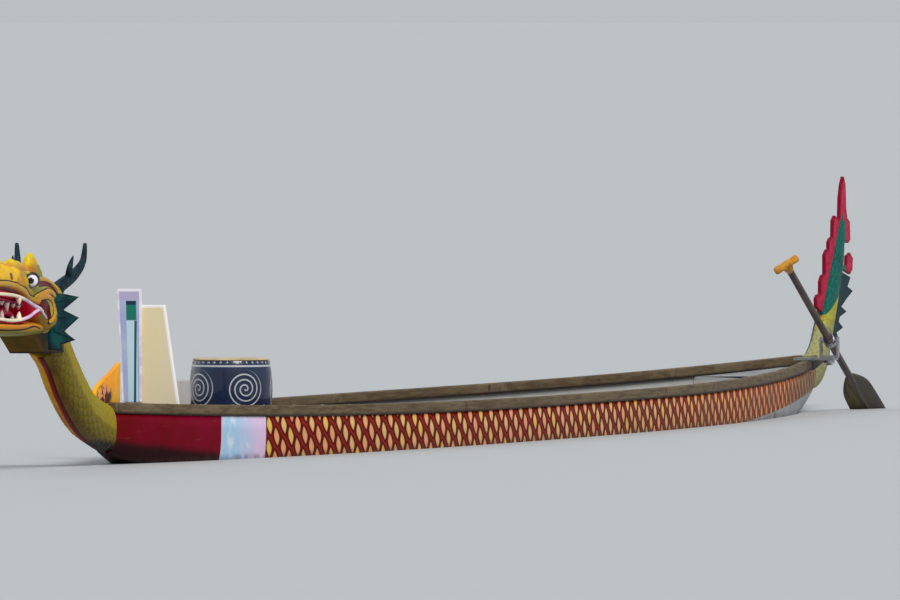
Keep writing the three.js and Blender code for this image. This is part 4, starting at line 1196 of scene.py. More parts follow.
def jaw():
    roll_rise, line_depth = 0.007, 0.004

    def place(u, v):
        co = carved_point(jaw_rows, u, v, 3)
        roll = roll_rise * max(0, near_on_side(co, jaw_raised) - 0.4) ** 0.5
        return carved_point(jaw_rows, u, v, 3, roll - line_depth * near_on_side(co, jaw_lined))

    paints = [
        ("raised", lambda u, v, co: near_on_side(co, jaw_raised)),
        ("lined", lambda u, v, co: near_on_side(co, jaw_lined)),
        ("inside", lambda u, v, co: 1.0 if 0.13 < v < 0.37 else 0.0),
    ]
    mesh = fill_ends(bent_grid(130, 96, place, 1e-6, paints))
    piece(mesh, "jaw_carving", "hull", jaw_paint(), ["head_jaw"], sharp=60, slot="jaw_paint")


jaw()


# Mouth: thick lilac-white lips round the opening, with a cream fang above and below on each side,
# gums painted dark plum as the shadow under the lips, turned wooden teeth pegged into them, and a
# carved tongue with a groove in its middle.
def lip_enamel():
    paint = Finish("lip_enamel", coat=0.2, gloss=0.15)
    lilac, lilac_white, cream = (0.58, 0.38, 0.60), (0.74, 0.60, 0.72), (0.84, 0.74, 0.56)
    cream_from, cream_to = stem_x + 1.64, stem_x + 1.69
    tone = paint.blend(lilac, lilac_white, paint.patches(17, 3, 0.38, 0.6))
    paint.set("Base Color", paint.blend(tone, cream, paint.fade(paint.axis("X"), cream_from, cream_to)))
    paint.set("Roughness", 0.3 + paint.noise(40, 4) * 0.15)
    paint.relief(paint.noise(60, 3), 0.15, 0.0008)
    return paint


def tooth_enamel():
    paint = Finish("tooth_enamel", coat=0.5)
    ivory, stained = (0.68, 0.60, 0.50), (0.50, 0.38, 0.24)
    paint.set("Base Color", paint.blend(ivory, stained, paint.fade(paint.grain((60, 60, 14)), 0.5, 0.75)))
    paint.set("Roughness", 0.26 + paint.noise(40, 4) * 0.15)
    paint.relief(paint.grain((160, 160, 20), 3), 0.15, 0.0008)
    return paint


def gum_shadow_enamel():
    paint = Finish("gum_shadow_enamel", gloss=0.08)
    # Painted shade: the red gums are painted dark plum, with crimson patches, for the shadow under the lips.
    shadow_plum, crimson = (0.13, 0.006, 0.05), (0.34, 0.010, 0.05)
    paint.set("Base Color", paint.blend(shadow_plum, crimson, paint.patches(20, 3, 0.4, 0.65)))
    paint.set("Roughness", 0.35 + paint.noise(40, 4) * 0.15)
    return paint


def tongue_enamel():
    paint = Finish("tongue_enamel", coat=0.2, coat_roughness=0.12)
    scarlet, crimson, pink = (0.95, 0.030, 0.100), (0.80, 0.010, 0.120), (0.80, 0.10, 0.18)
    groove = paint.grain((9, 50, 9))
    tone = paint.blend(scarlet, crimson, paint.fade(groove, 0.35, 0.65))
    # The light pink spots are partly painted highlights on the red.
    paint.set("Base Color", paint.blend(tone, pink, paint.patches(26, 4, 0.6, 0.75) * 0.5))
    paint.set("Roughness", 0.25 + groove * 0.2)
    paint.relief(groove + paint.noise(70, 3) * 0.3, 0.3, 0.001)
    return paint


def limb(rows, around, steps):
    """A tapering round limb along a smooth line; its rows are x, y, z and radius."""
    line = rounded_line(rows, steps)
    count = len(line) - 1

    def place(u, v):
        number = round(u * count)
        x, y, z, radius = line[number]
        before, after = line[max(0, number - 1)], line[min(count, number + 1)]
        way = (Vector(after[:3]) - Vector(before[:3])).normalized()
        across = way.cross((0, 1, 0) if abs(way.y) < 0.9 else (1, 0, 0)).normalized()
        beside = way.cross(across)
        angle = 2 * math.pi * v
        return Vector((x, y, z)) + radius * (math.cos(angle) * across + math.sin(angle) * beside)

    return fill_ends(bent_grid(count, around, place, 1e-6))


def both_sides(rows):
    """A port limb's rows, and the same to starboard."""
    return [[(x, side * y, z, radius) for x, y, z, radius in rows] for side in (1, -1)]


def ahead(rows):
    """Rows whose first column is a distance forward of the stem, as rows with an x."""
    return [(stem_x + row[0], *row[1:]) for row in rows]


lip_lines = [  # along each line: distance forward of the stem, side, height and radius
    [(1.985, 0.096, 0.778, 0.007), (1.920, 0.110, 0.775, 0.0075), (1.770, 0.118, 0.767, 0.0075),
     (1.646, 0.124, 0.750, 0.0075), (1.545, 0.134, 0.724, 0.0075), (1.470, 0.141, 0.707, 0.0075),
     (1.430, 0.143, 0.694, 0.006)],
    [(1.455, 0.140, 0.706, 0.0075), (1.520, 0.136, 0.692, 0.0075), (1.600, 0.130, 0.672, 0.0075),
     (1.700, 0.120, 0.661, 0.0075), (1.800, 0.110, 0.660, 0.0075), (1.900, 0.093, 0.667, 0.007),
     (1.950, 0.066, 0.670, 0.007)],
    [(1.452, 0.143, 0.704, 0.005), (1.425, 0.146, 0.684, 0.005), (1.385, 0.145, 0.668, 0.004),
     (1.360, 0.143, 0.662, 0.002)],
]
lip_rolls = [limb(rows, 14, 5) for line in lip_lines for rows in both_sides(ahead(line))]
front_lips = [(1.996, 0.096, 0.779), (1.953, 0.066, 0.670)]  # distance, half width, height
front_bend = [(-0.010, 1), (0.020, 0.55), (0.026, 0), (0.020, -0.55), (-0.010, -1)]
front_radius = 0.007
for distance, half, height in front_lips:
    bow = [(distance + step, half * share, height, front_radius) for step, share in front_bend]
    lip_rolls.append(limb(ahead(bow), 14, 5))
fang_at, fang_y, fang_radius, fang_length = 1.705, 0.118, 0.014, 0.038
fang_taper = [  # how far back, share of the length, radius
    (0, 0, fang_radius), (0, 0.4, fang_radius * 0.85), (0.004, 0.8, fang_radius * 0.5), (0.010, 1, 0.0015)]
for foot, way in ((0.764, -1), (0.658, 1)):
    fang = [(fang_at - back, fang_y, foot + way * fang_length * share, radius)
            for back, share, radius in fang_taper]
    lip_rolls += [limb(rows, 14, 4) for rows in both_sides(ahead(fang))]
piece(joined(lip_rolls), "lip_rolls", "hull", lip_enamel(), slot="tooth_paint")
enamel, shadowed_gums = tooth_enamel(), gum_shadow_enamel()

upper_teeth = [  # distance forward of the stem, length
    (1.580, 0.016), (1.650, 0.016), (1.730, 0.040), (1.800, 0.016), (1.870, 0.016), (1.935, 0.034)]
lower_teeth = [(1.580, 0.014), (1.650, 0.014), (1.780, 0.036), (1.850, 0.016), (1.905, 0.026)]


def row_at(rows, distance):
    """The row of a table at a distance forward of the stem, on straight lines through its rows."""
    for first, second in zip(rows, rows[1:]):
        if distance <= second[0]:
            share = (distance - first[0]) / (second[0] - first[0])
            return [a + (b - a) * share for a, b in zip(first, second)]
    return rows[-1]


def tooth_row(name, node, teeth, rows, column, way, ends):
    """Teeth on a gum that lies on the face which a column of the rows gives. Way is -1 where they
    hang and 1 where they stand."""
    gum, bed, gum_share = 0.012, 0.005, 0.72
    radius, inset, root = 0.013, 0.015, 0.006

    def gum_point(u, v):
        distance = ends[0] + u * (ends[1] - ends[0])
        row = row_at(rows, distance)
        angle = 2 * math.pi * v
        across, up = bent(math.cos(angle), 6), (1 + bent(math.sin(angle), 4)) / 2
        return Vector((
            stem_x + distance, across * row[3] * gum_share, row[column] + way * (up * (gum + bed) - bed)))

    gum_plate = fill_ends(bent_grid(40, 32, gum_point, 1e-6))
    for face in gum_plate.faces:
        face.material_index = 1
    parts = [gum_plate]
    for distance, length in teeth:
        row = row_at(rows, distance)
        y = row[3] * gum_share - inset
        foot = row[column] + way * (gum - root)
        tooth = [
            (distance, y, foot, radius), (distance + 0.002, y, foot + way * (length * 0.4), radius * 0.85),
            (distance - 0.002, y, foot + way * (length * 0.8 + 0.003), radius * 0.5),
            (distance - 0.009, y, foot + way * (length + 0.005), 0.0012)]
        parts += [limb(side_rows, 14, 4) for side_rows in both_sides(ahead(tooth))]
    piece(joined(parts), name, "hull", enamel, [node], slot="tooth_paint", second_finish=shadowed_gums)


tooth_row("upper_teeth_row", "teeth_upper", upper_teeth, head_rows, 1, -1, (1.565, 1.975))
tooth_row("lower_teeth_row", "teeth_lower", lower_teeth, jaw_rows, 2, 1, (1.480, 1.950))

tongue_rows = [  # distance forward of the stem, underside, top, half width
    (1.490, 0.664, 0.678, 0.038), (1.600, 0.666, 0.712, 0.050), (1.760, 0.668, 0.724, 0.048),
    (1.860, 0.676, 0.720, 0.034), (1.896, 0.687, 0.709, 0.016), (1.900, 0.694, 0.702, 0.006),
]


def tongue():
    groove_depth, groove_half, wave = 0.007, 0.008, 0.006

    def place(u, v):
        co = carved_point(tongue_rows, u, v, 2.2)
        groove = groove_depth * math.exp(-(co.y / groove_half) ** 2) if v < 0.5 else 0
        co.z += wave * math.sin(u * 3 * math.pi) * u - groove * math.sin(math.pi * min(1, u * 1.1))
        return co

    piece(fill_ends(bent_grid(60, 48, place, 1e-6)), "tongue_carving", "hull", tongue_enamel(),
          ["tongue"], sharp=60, slot="mouth_paint")


tongue()


# Eyes: turned balls painted white with a dark pupil, under a heavy black lid.
def eye_enamel():
    paint = Finish("eye_enamel", coat=0.8, coat_roughness=0.04)
    white, pink_white = (0.78, 0.76, 0.78), (0.60, 0.52, 0.58)
    iris_brown, pupil_black = (0.05, 0.02, 0.01), (0.004, 0.004, 0.006)
    gaze = Vector((0.98, 0.10, 0.02)).normalized()
    pupil, iris, soft = 0.0135, 0.0155, 0.002
    tone = paint.blend(white, pink_white, paint.patches(50, 3, 0.45, 0.7) * 0.5)
    for eye_place, side in zip(eye_places, (1, -1)):
        away = paint.away(eye_place + eye_radius * Vector((gaze.x, side * gaze.y, gaze.z)))
        tone = paint.blend(tone, iris_brown, paint.fade(iris - away, 0, soft))
        tone = paint.blend(tone, pupil_black, paint.fade(pupil - away, 0, soft))
    paint.set("Base Color", tone)
    paint.set("Roughness", 0.12 + paint.noise(30, 3) * 0.08)
    return paint


def lid_black():
    paint = Finish("lid_black", coat=0.4)
    black, brown_black = (0.012, 0.010, 0.012), (0.03, 0.016, 0.014)
    paint.set("Base Color", paint.blend(black, brown_black, paint.patches(30, 4, 0.4, 0.7)))
    paint.set("Roughness", 0.35 + paint.noise(40, 4) * 0.2)
    return paint


eye_white = eye_enamel()
eye_clearance = 0.0006
for place, name in zip(eye_places, ("eye_port", "eye_starboard")):
    ball = bmesh.new()
    bmesh.ops.create_uvsphere(ball, u_segments=48, v_segments=24, radius=eye_radius - eye_clearance,
                              matrix=Matrix.Translation(place))
    piece(ball, name + "_ball", "hull", eye_white, [name], slot="eye_paint")

lid_reach, lid_from, lid_to, lid_steps = eye_radius + 0.002, -75, 150, 9
lid_radius, lid_swell = 0.003, 0.006
lid_line = []
for number in range(lid_steps + 1):
    share = number / lid_steps
    bearing = math.radians(lid_from + (lid_to - lid_from) * share)
    out = lid_reach * math.sin(bearing) * math.sqrt(0.5)
    lid_place = eye_places[0] + Vector((-out, out, lid_reach * math.cos(bearing)))
    lid_line.append((*lid_place, lid_radius + lid_swell * math.sin(math.pi * share)))
piece(joined([limb(rows, 14, 3) for rows in both_sides(lid_line)]), "eye_lids", "hull", lid_black(),
      slot="head_paint")


# Crest: a row of carved lumps along the middle of the head, with a tall curl at its back, and a
# carved roll over each nostril in the same gold and orange.
crest_rows = [  # distance forward of the stem, underside, top, half width
    (0.998, 0.780, 0.800, 0.010), (1.010, 0.780, 0.862, 0.018), (1.034, 0.790, 0.884, 0.022),
    (1.062, 0.800, 0.900, 0.020), (1.096, 0.800, 0.926, 0.021), (1.146, 0.800, 0.941, 0.022),
    (1.184, 0.800, 0.930, 0.020), (1.208, 0.800, 0.892, 0.020), (1.255, 0.800, 0.886, 0.028),
    (1.310, 0.800, 0.900, 0.031),
    (1.370, 0.800, 0.911, 0.033), (1.448, 0.800, 0.918, 0.034), (1.496, 0.810, 0.907, 0.031),
    (1.560, 0.820, 0.892, 0.027), (1.640, 0.820, 0.922, 0.034), (1.720, 0.830, 0.916, 0.034),
    (1.790, 0.830, 0.903, 0.030), (1.850, 0.830, 0.914, 0.032), (1.905, 0.830, 0.900, 0.028),
    (1.928, 0.830, 0.868, 0.018), (1.932, 0.836, 0.845, 0.006),
]


def crest_paint():
    paint = Finish("crest_paint", coat=0.12, gloss=0.12)
    x, z = paint.axis("X"), paint.axis("Z")
    foot_orange, gold, curl_green = (0.50, 0.20, 0.008), (0.68, 0.48, 0.006), (0.26, 0.28, 0.02)
    orange, moss, rust = (0.60, 0.24, 0.008), (0.13, 0.12, 0.014), (0.30, 0.035, 0.008)
    green_from, green_to, green_lean, green_z = stem_x + 1.06, stem_x + 1.12, 0.6, 0.88
    tone = paint.blend(foot_orange, gold, paint.fade(z, 0.872, 0.908))
    tone = paint.blend(curl_green, tone, paint.fade(x + (z - green_z) * green_lean, green_from, green_to))
    tone = paint.blend(tone, orange, paint.patches(11, 2, 0.5, 0.62) * 0.8)
    tone = paint.blend(tone, moss, paint.patches(9, 3, 0.56, 0.66) * 0.8)
    tone = paint.blend(tone, rust, paint.patches(16, 3, 0.62, 0.70) * 0.8)
    paint.set("Base Color", tone)
    paint.set("Roughness", 0.3 + paint.noise(20, 4) * 0.2)
    paint.relief(paint.noise(38, 4), 0.3, 0.0015)
    return paint


crest_gold = crest_paint()


def crest():
    ripple_depth, ripples = 0.0025, 17

    def place(u, v):
        ripple = ripple_depth * math.sin(u * 2 * math.pi * ripples) * math.sin(2 * math.pi * v)
        return carved_point(crest_rows, u, v, 2.3, ripple)

    piece(fill_ends(bent_grid(180, 40, place, 1e-6)), "crest_carving", "hull", crest_gold,
          ["head_crest"], sharp=60, slot="head_paint")


crest()
nostril_line = [  # distance forward of the stem, side, height, radius
    (2.000, 0.034, 0.852, 0.006), (2.012, 0.050, 0.846, 0.009), (2.008, 0.066, 0.836, 0.010),
    (1.990, 0.074, 0.826, 0.009), (1.985, 0.064, 0.820, 0.005),
]
piece(joined([limb(rows, 14, 6) for rows in both_sides(ahead(nostril_line))]), "nostril_rolls", "hull",
      crest_gold, slot="head_paint")


# Antlers: bent ash branches, one tine each, painted slate blue, in sockets behind the brow.
def antler_slate():
    paint = Finish("antler_slate", coat=0.05, gloss=0.1)
    slate, light_slate, tip_grey = (0.005, 0.016, 0.026), (0.014, 0.036, 0.048), (0.03, 0.06, 0.07)
    grain = paint.grain((40, 40, 8), 5)
    tone = paint.blend(slate, light_slate, paint.fade(grain, 0.4, 0.68))
    tone = paint.blend(tone, tip_grey, paint.fade(paint.axis("Z"), 0.93, 0.99) * 0.5)
    paint.set("Base Color", tone)
    paint.set("Roughness", 0.4 + grain * 0.2)
    paint.relief(grain, 0.5, 0.002)
    return paint


antler_beam = [  # distance forward of the stem, side, height, radius
    (1.060, 0.080, 0.768, 0.031), (1.032, 0.090, 0.784, 0.033), (1.012, 0.095, 0.795, 0.028),
    (0.985, 0.102, 0.806, 0.0275), (0.915, 0.122, 0.836, 0.0245), (0.858, 0.138, 0.872, 0.0195),
    (0.830, 0.148, 0.905, 0.0145), (0.822, 0.152, 0.945, 0.0115), (0.820, 0.154, 0.976, 0.0085),
    (0.820, 0.154, 0.982, 0.004),
]
antler_tine = [
    (0.950, 0.118, 0.838, 0.0165), (0.968, 0.128, 0.872, 0.0135), (0.958, 0.132, 0.900, 0.0095),
    (0.942, 0.136, 0.926, 0.003),
]
slate = antler_slate()
for side, node in ((0, "antler_port"), (1, "antler_starboard")):
    branches = [limb(both_sides(ahead(line))[side], 20, 7) for line in (antler_beam, antler_tine)]
    piece(joined(branches), node + "_branch", "hull", slate, [node], slot="antler_paint")


# Frills: a jagged board behind each cheek, dark teal with black edges and a raised rib to each
# point, screwed on so that it stands out from the head.
frill_root = 1.270
frill_outline = [  # distance forward of the stem, height
    (1.262, 0.770), (1.180, 0.768), (1.071, 0.752), (1.174, 0.697), (1.071, 0.662), (1.170, 0.604),
    (1.096, 0.566), (1.190, 0.546), (1.180, 0.520), (1.262, 0.524),
]
frill_ribs = [
    ((1.245, 0.735), (1.078, 0.752)), ((1.248, 0.672), (1.078, 0.662)), ((1.245, 0.612), (1.103, 0.567))]
frill_thickness, frill_edge, frill_turn = 0.020, 0.009, math.radians(24)
rib_root_radius, rib_tip_radius = 0.008, 0.002
frill_hinge = Vector((stem_x + frill_root, 0.112, 0))


def frill_teal():
    paint = Finish("frill_teal", coat=0.05, gloss=0.08)
    teal, slate, edge_black, worn_green = (
        (0.002, 0.056, 0.052), (0.004, 0.022, 0.032), (0.005, 0.009, 0.014), (0.03, 0.13, 0.11))
    tone = paint.blend(teal, slate, paint.patches(15, 4, 0.35, 0.62))
    tone = paint.blend(tone, edge_black, paint.painted("edge"))
    tone = paint.blend(tone, worn_green, paint.fade(paint.grain((6, 6, 60), 3), 0.6, 0.7) * 0.4)
    paint.set("Base Color", tone)
    paint.set("Roughness", 0.36 + paint.noise(30, 4) * 0.2)
    paint.relief(paint.grain((10, 10, 70)), 0.4, 0.0015)
    return paint


def marked_edges(mesh, outline, half, shift=0.0):
    """Stores which points of a board lie near a line of its outline, after cutting it finer."""
    longest = 0.02
    bmesh.ops.triangulate(mesh, faces=mesh.faces[:])
    for _ in range(3):
        long_edges = [edge for edge in mesh.edges if edge.calc_length() > longest]
        bmesh.ops.subdivide_edges(mesh, edges=long_edges, cuts=1)
        bmesh.ops.triangulate(mesh, faces=mesh.faces[:])
    layer = mesh.verts.layers.float.new("edge")
    ring = [(half, outline)]
    for vert in mesh.verts:
        vert[layer] = 1.0 if nearest(vert.co.x + shift, vert.co.z, ring) > 0.5 else 0.0
    return mesh


teal = frill_teal()
for side, node in ((1, "frill_port"), (-1, "frill_starboard")):
    from_root = [(distance - frill_root, z) for distance, z in frill_outline]
    frill = board(from_root, frill_thickness / 2, frill_thickness / 2)
    marked_edges(frill, frill_outline, frill_edge, frill_root)
    ribs = [limb([
        (root_x - frill_root, frill_thickness, root_z, rib_root_radius),
        (tip_x - frill_root, frill_thickness, tip_z, rib_tip_radius),
    ], 10, 6) for (root_x, root_z), (tip_x, tip_z) in frill_ribs]
    whole = joined([frill] + ribs)
    spin = Matrix.Rotation(-frill_turn, 4, "Z")
    bmesh.ops.transform(whole, matrix=Matrix.Translation(frill_hinge) @ spin, verts=whole.verts)
    if side < 0:
        bmesh.ops.scale(whole, vec=(1, -1, 1), verts=whole.verts)
        bmesh.ops.reverse_faces(whole, faces=whole.faces)
    piece(whole, node + "_board", "hull", teal, [node], slot="frill_paint")


# Throat: a bevelled block that fills the corner between the jaw and the neck, glued to both. It is
# brown, darkened partly as painted shade under the jaw, with a teal patch that runs on from the
# frills and a black line along its foot.
def throat_paint():
    paint = Finish("throat_paint", gloss=0.03)
    x, z = paint.axis("X"), paint.axis("Z")
    brown, shaded_dark_brown = (0.115, 0.056, 0.002), (0.070, 0.046, 0.003)
    patch_teal, foot_black = (0.012, 0.050, 0.050), (0.012, 0.010, 0.012)
    patch_end, foot_z = stem_x + 1.16, 0.520
    patch = paint.fade(patch_end + paint.noise(24, 3) * 0.08 - x, 0, 0.04) * paint.fade(z, 0.54, 0.58)
    # Its dark browns are partly painted shade: the block lies in the shadow under the jaw.
    tone = paint.blend(brown, shaded_dark_brown, paint.patches(9, 4, 0.35, 0.65))
    tone = paint.blend(tone, patch_teal, patch)
    paint.set("Base Color", paint.blend(tone, foot_black, paint.fade(foot_z - z, 0, 0.010)))
    paint.set("Roughness", 0.4 + paint.noise(20, 4) * 0.2)
    paint.relief(paint.noise(30, 4), 0.3, 0.0015)
    return paint


dress("throat_block", throat_paint(), 0.010, 3)


# Tail: carved as one tapering body and bolted to the stern, with teal scales above and straw ones
# at its foot. Boards let into it make a red scalloped fringe, teal spikes and a red barb behind.
tail_rows = [  # distance aft of the stern, height, half depth, half width, slope in degrees
    (0.0003, 0.186, 0.084, 0.044, 0),
    (0.130, 0.210, 0.092, 0.046, 16),
    (0.245, 0.276, 0.092, 0.044, 42),
    (0.318, 0.370, 0.080, 0.042, 54),
    (0.397, 0.475, 0.076, 0.040, 53),
    (0.467, 0.560, 0.070, 0.038, 52),
    (0.571, 0.695, 0.066, 0.033, 53),
    (0.622, 0.772, 0.062, 0.029, 58),
    (0.664, 0.852, 0.044, 0.022, 66),
    (0.690, 0.925, 0.027, 0.016, 70),
    (0.704, 0.978, 0.010, 0.009, 72),
]
tail_scales_along, tail_scales_around = 30, 12


def tail_paint():
    light_teal, mid_teal, dark_teal = (0.014, 0.150, 0.115), (0.010, 0.105, 0.085), (0.006, 0.030, 0.030)
    orange, yellow_green, low_grey = (0.52, 0.20, 0.012), (0.40, 0.38, 0.040), (0.30, 0.30, 0.13)
    between_scales, far_green, stain = (0.08, 0.07, 0.012), (0.040, 0.085, 0.060), (0.012, 0.02, 0.022)
    straw_z, straw_aft, straw_slope = 0.500, 0.348, 0.47
    paint, scales = scaled_skin("tail_paint", light_teal, mid_teal, dark_teal)
    x, y, z = paint.axis("X"), paint.axis("Y"), paint.axis("Z")
    straw_top = straw_z + (stern_x - x - straw_aft) * straw_slope
    straw = paint.blend(orange, yellow_green, paint.fade(y, -0.004, 0.020))
    straw = paint.blend(straw, low_grey, paint.fade(z, 0.46, 0.38))
    straw = paint.blend(between_scales, straw, paint.fade(paint.painted("scale"), 0.1, 0.5))
    straw = paint.blend(straw, far_green, paint.fade(y, -0.018, -0.026))
    tone = paint.blend(scales, straw, paint.fade(straw_top - z, 0, 0.012))
    paint.set("Base Color", paint.blend(tone, stain, paint.patches(8, 5, 0.56, 0.76) * 0.45))
    paint.set("Roughness", 0.36 + paint.noise(20, 4) * 0.2)
    paint.relief(paint.noise(60, 4), 0.2, 0.001)
    return paint


def tail():
    scale_rise = 0.004

    def scales(u, v):
        return scale_height(u * tail_scales_along, v * tail_scales_around)

    def carved(u, v):
        swell = scale_rise * scales(u, v) * min(1, (1 - u) * 6)
        return trunk_point(tail_rows, stern_x, -1, u, v, 2.4, swell)

    paints = [("scale", lambda u, v, co: scales(u, v))]
    mesh = fill_ends(bent_grid(260, 144, carved, 1e-6, paints))
    piece(mesh, "tail_carving", "hull", tail_paint(), ["tail_body"], sharp=60, slot="tail_paint")


tail()


def tail_board_paint(name, light, dark, edge_tone):
    """A finish in two tones of streaks with a darker edge, and its colour."""
    paint = Finish(name, coat=0.02, gloss=0.04)
    tone = paint.blend(light, dark, paint.fade(paint.grain((16, 16, 44)), 0.38, 0.66))
    tone = paint.blend(tone, edge_tone, paint.painted("edge"))
    paint.set("Base Color", tone)
    paint.set("Roughness", 0.36 + paint.noise(30, 4) * 0.2)
    paint.relief(paint.grain((20, 20, 60)), 0.4, 0.0015)
    return paint, tone


def fringe_red():
    """Red, with a green strip beside the body, as high as the body's own top."""
    light_red, deep_red, edge_red = (0.52, 0.012, 0.060), (0.34, 0.006, 0.032), (0.20, 0.004, 0.022)
    strip_green = (0.012, 0.115, 0.092)
    strip_fore, strip_z, strip_slope, strip_aft, strip_top = 0.335, 0.558, 0.815, 0.775, 0.945
    paint, tone = tail_board_paint("tail_red", light_red, deep_red, edge_red)
    aft, z = stern_x - paint.axis("X"), paint.axis("Z")
    strip = paint.fade(aft - strip_fore - (z - strip_z) * strip_slope, 0, 0.008)
    strip = strip * paint.fade(strip_aft - aft, 0, 0.008) * paint.fade(strip_top - z, 0, 0.012)
    paint.set("Base Color", paint.blend(tone, strip_green, strip))
    return paint


tail_red = fringe_red()
dark_teal, slate_blue, edge_slate = (0.006, 0.036, 0.040), (0.008, 0.022, 0.042), (0.006, 0.010, 0.018)
tail_teal, _ = tail_board_paint("tail_teal", dark_teal, slate_blue, edge_slate)
tail_boards = [  # node, finish, slot, half thickness, and an outline of distances aft and heights
    ("tail_fringe", tail_red, "tail_red_paint", 0.009, [
        (0.380, 0.460), (0.250, 0.492), (0.180, 0.512), (0.172, 0.556), (0.204, 0.574), (0.262, 0.580),
        (0.262, 0.642), (0.298, 0.670), (0.350, 0.678), (0.348, 0.772), (0.392, 0.798), (0.430, 0.802),
        (0.430, 0.836), (0.462, 0.854), (0.512, 0.864), (0.516, 0.944), (0.560, 0.968), (0.630, 0.944),
        (0.650, 0.966), (0.662, 1.060), (0.690, 1.124), (0.730, 1.164), (0.768, 1.124), (0.782, 1.004),
        (0.806, 0.954), (0.856, 0.936), (0.868, 0.842), (0.826, 0.826), (0.650, 0.830), (0.571, 0.695),
        (0.467, 0.560)]),
    ("tail_spikes", tail_teal, "frill_paint", 0.009, [
        (0.330, 0.352), (0.526, 0.328), (0.632, 0.344), (0.588, 0.378), (0.722, 0.402), (0.632, 0.434),
        (0.650, 0.456), (0.798, 0.482), (0.686, 0.508), (0.800, 0.548), (0.924, 0.584), (0.812, 0.608),
        (0.872, 0.654), (0.760, 0.672), (0.600, 0.700), (0.467, 0.560)]),
    ("tail_barb", tail_red, "tail_red_paint", 0.008, [
        (0.600, 0.714), (0.762, 0.686), (0.866, 0.668), (0.914, 0.690), (0.924, 0.750), (0.866, 0.778),
        (0.800, 0.762), (0.790, 0.712), (0.690, 0.724), (0.600, 0.742)]),
]
tail_edge = 0.010
for node, finish, slot, half, outline in tail_boards:
    placed = [(stern_x - distance, z) for distance, z in outline]
    mesh = marked_edges(board(placed, half), placed, tail_edge)
    piece(mesh, node + "_board", "hull", finish, [node], slot=slot)


# Steering oar: a dark oiled ash shaft with two stop rings, a T-shaped grip and a flat blade let on
# to its end. It turns in a steel sleeve that swings in a fork on the rail's bracket.
grip_at, blade_at = Vector((-4.728, 0.2877, 0.740)), Vector((-6.269, 0.2216, 0.1595))
oarlock_x = -5.750
oar_line = (blade_at - grip_at).normalized()
oarlock = grip_at + oar_line * ((oarlock_x - grip_at.x) / oar_line.x)
sideways = Vector((0, 0, 1)).cross(oar_line).normalized()
oar_turn = math.radians(-35)
oar_axes = Matrix((oar_line, sideways, oar_line.cross(sideways))).transposed().to_4x4()
oar_frame = Matrix.Translation(oarlock) @ oar_axes @ Matrix.Rotation(oar_turn, 4, "X")
shaft_radius, stop_radius, stop_edge = 0.0175, 0.026, 0.002
grip_end, blade_start = -(grip_at - oarlock).length, (blade_at - oarlock).length


def along_oar(profile, steps=32):
    """A form turned round the oar's line; its profile is radii and distances from the oarlock."""
    mesh = spun(profile, steps)
    bmesh.ops.transform(mesh, matrix=Matrix.Rotation(math.pi / 2, 4, "Y"), verts=mesh.verts)
    return mesh


def oiled_ash(name, light, dark, roughness=0.42):
    """An ash finish with its grain along the oar, its colour, and the place in the oar's frame."""
    wood = Finish(name, coat=0.05, gloss=0.12)
    place = wood.node("ShaderNodeMapping", {"vector_type": "TEXTURE"}, {
        "Vector": wood.place(), "Location": tuple(oarlock), "Rotation": tuple(oar_frame.to_euler()),
    }, "Vector")
    grain = wood.grain((4, 70, 70), 6, place, roughness=0.6)
    tone = wood.blend(dark, light, wood.fade(grain, 0.36, 0.64))
    tone = wood.blend(tone, dark, wood.patches(8, 5, 0.55, 0.75) * 0.6)
    wood.set("Base Color", tone)
    wood.set("Roughness", roughness + grain * 0.2)
    wood.relief(grain, 0.35, 0.001)
    return wood, tone, place


shaft_finish, _, _ = oiled_ash("shaft_finish", (0.125, 0.092, 0.082), (0.052, 0.038, 0.036))
stop_from, stop_to = 0.034, 0.044
inlet = 0.330
shaft_profile = [
    (0, grip_end + 0.001), (shaft_radius, grip_end + 0.001), (shaft_radius, -stop_to),
    (stop_radius - stop_edge, -stop_to), (stop_radius, -stop_to + stop_edge),
    (stop_radius, -stop_from - stop_edge), (stop_radius - stop_edge, -stop_from),
    (shaft_radius, -stop_from), (shaft_radius, stop_from), (stop_radius - stop_edge, stop_from),
    (stop_radius, stop_from + stop_edge), (stop_radius, stop_to - stop_edge),
    (stop_radius - stop_edge, stop_to), (shaft_radius, stop_to), (shaft_radius, blade_start + 0.060),
    (0.013, blade_start + 0.200), (0.006, blade_start + inlet), (0, blade_start + inlet)]
shaft = along_oar(shaft_profile, 40)
bmesh.ops.transform(shaft, matrix=oar_frame, verts=shaft.verts)
piece(shaft, "shaft_turning", "oar", shaft_finish, ["oar_shaft"], slot="shaft_finish")

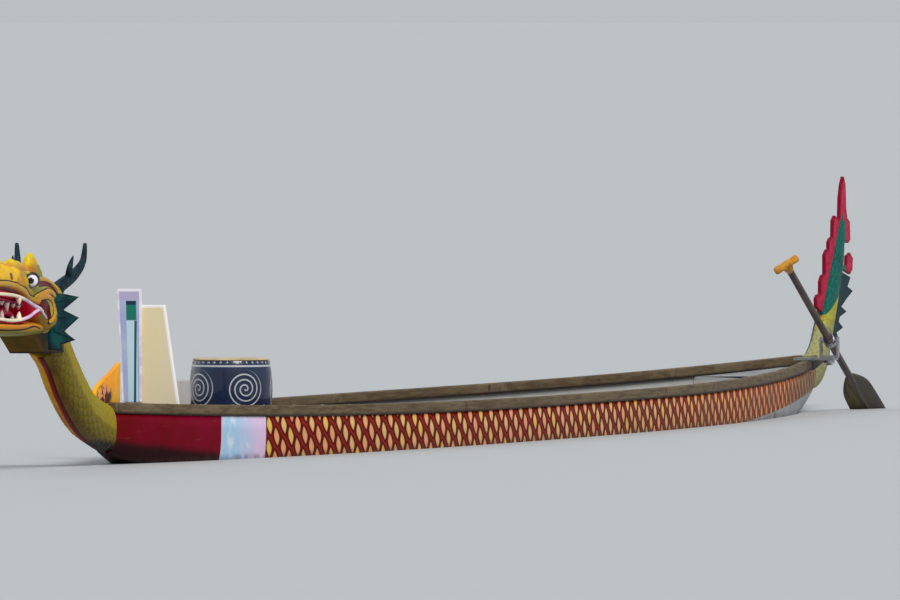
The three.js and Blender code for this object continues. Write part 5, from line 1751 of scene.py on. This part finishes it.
grip_wood, _, _ = oiled_ash("grip_wood", (0.64, 0.31, 0.04), (0.42, 0.18, 0.02), 0.36)
grip_radius, grip_half, socket_radius, socket_bore = 0.020, 0.068, 0.025, shaft_radius + 0.0004
grip_bar = spun([
    (0, -grip_half), (0.011, -grip_half), (0.017, -grip_half + 0.005), (grip_radius, -grip_half + 0.014),
    (0.0185, -0.030), (0.0195, 0), (0.0185, 0.030), (grip_radius, grip_half - 0.014),
    (0.017, grip_half - 0.005), (0.011, grip_half), (0, grip_half),
], 32, (grip_end - grip_radius, 0, 0), (0, 1, 0))
grip_socket = along_oar([
    (0, grip_end - grip_radius), (0.018, grip_end - grip_radius), (socket_radius, grip_end),
    (socket_radius, grip_end + 0.030), (0.0195, grip_end + 0.058), (socket_bore, grip_end + 0.060),
    (socket_bore, grip_end + 0.001), (0, grip_end + 0.001)])
grip = joined([grip_bar, grip_socket])
bmesh.ops.transform(grip, matrix=oar_frame, verts=grip.verts)
piece(grip, "grip_turning", "oar", grip_wood, ["oar_grip"], slot="grip_wood")

blade_wood, tone, place = oiled_ash("blade_wood", (0.125, 0.100, 0.042), (0.055, 0.038, 0.017))
# One half of the blade's width, beside its spine, is painted greyer.
half_grey = (0.085, 0.072, 0.064)
grey_half = blade_wood.fade(blade_wood.axis("Y", place), 0.004, -0.004) * 0.8
blade_wood.set("Base Color", blade_wood.blend(tone, half_grey, grey_half))
blade_rows = [  # distance beyond the shaft's end, half width, half thickness
    (-0.030, 0.026, 0.009), (0.040, 0.051, 0.009), (0.150, 0.073, 0.008), (0.360, 0.079, 0.0075),
    (0.560, 0.080, 0.007), (0.690, 0.076, 0.006), (0.715, 0.070, 0.0045), (0.720, 0.060, 0.0025),
]
spine_rise = 0.010


def blade_point(u, v):
    distance, half, thickness = smooth_row(blade_rows, u)
    angle = 2 * math.pi * v
    across, up = bent(math.cos(angle), 2.6), bent(math.sin(angle), 2.6)
    spine = spine_rise * max(0, 1 - abs(across) * 7) * max(0, 1 - max(0, u - 0.25) * 1.4)
    return Vector((blade_start + distance, across * half, up * thickness + math.copysign(spine, up)))


blade = fill_ends(bent_grid(70, 64, blade_point, 1e-6))
bmesh.ops.transform(blade, matrix=oar_frame, verts=blade.verts)
piece(blade, "blade_carving", "oar", blade_wood, ["oar_blade"], slot="blade_wood")

dress("oar_bracket", steel, 0.0015)
dress("oarlock_fork", steel, 0.001)
dress("oarlock_sleeve", steel, 0.001)
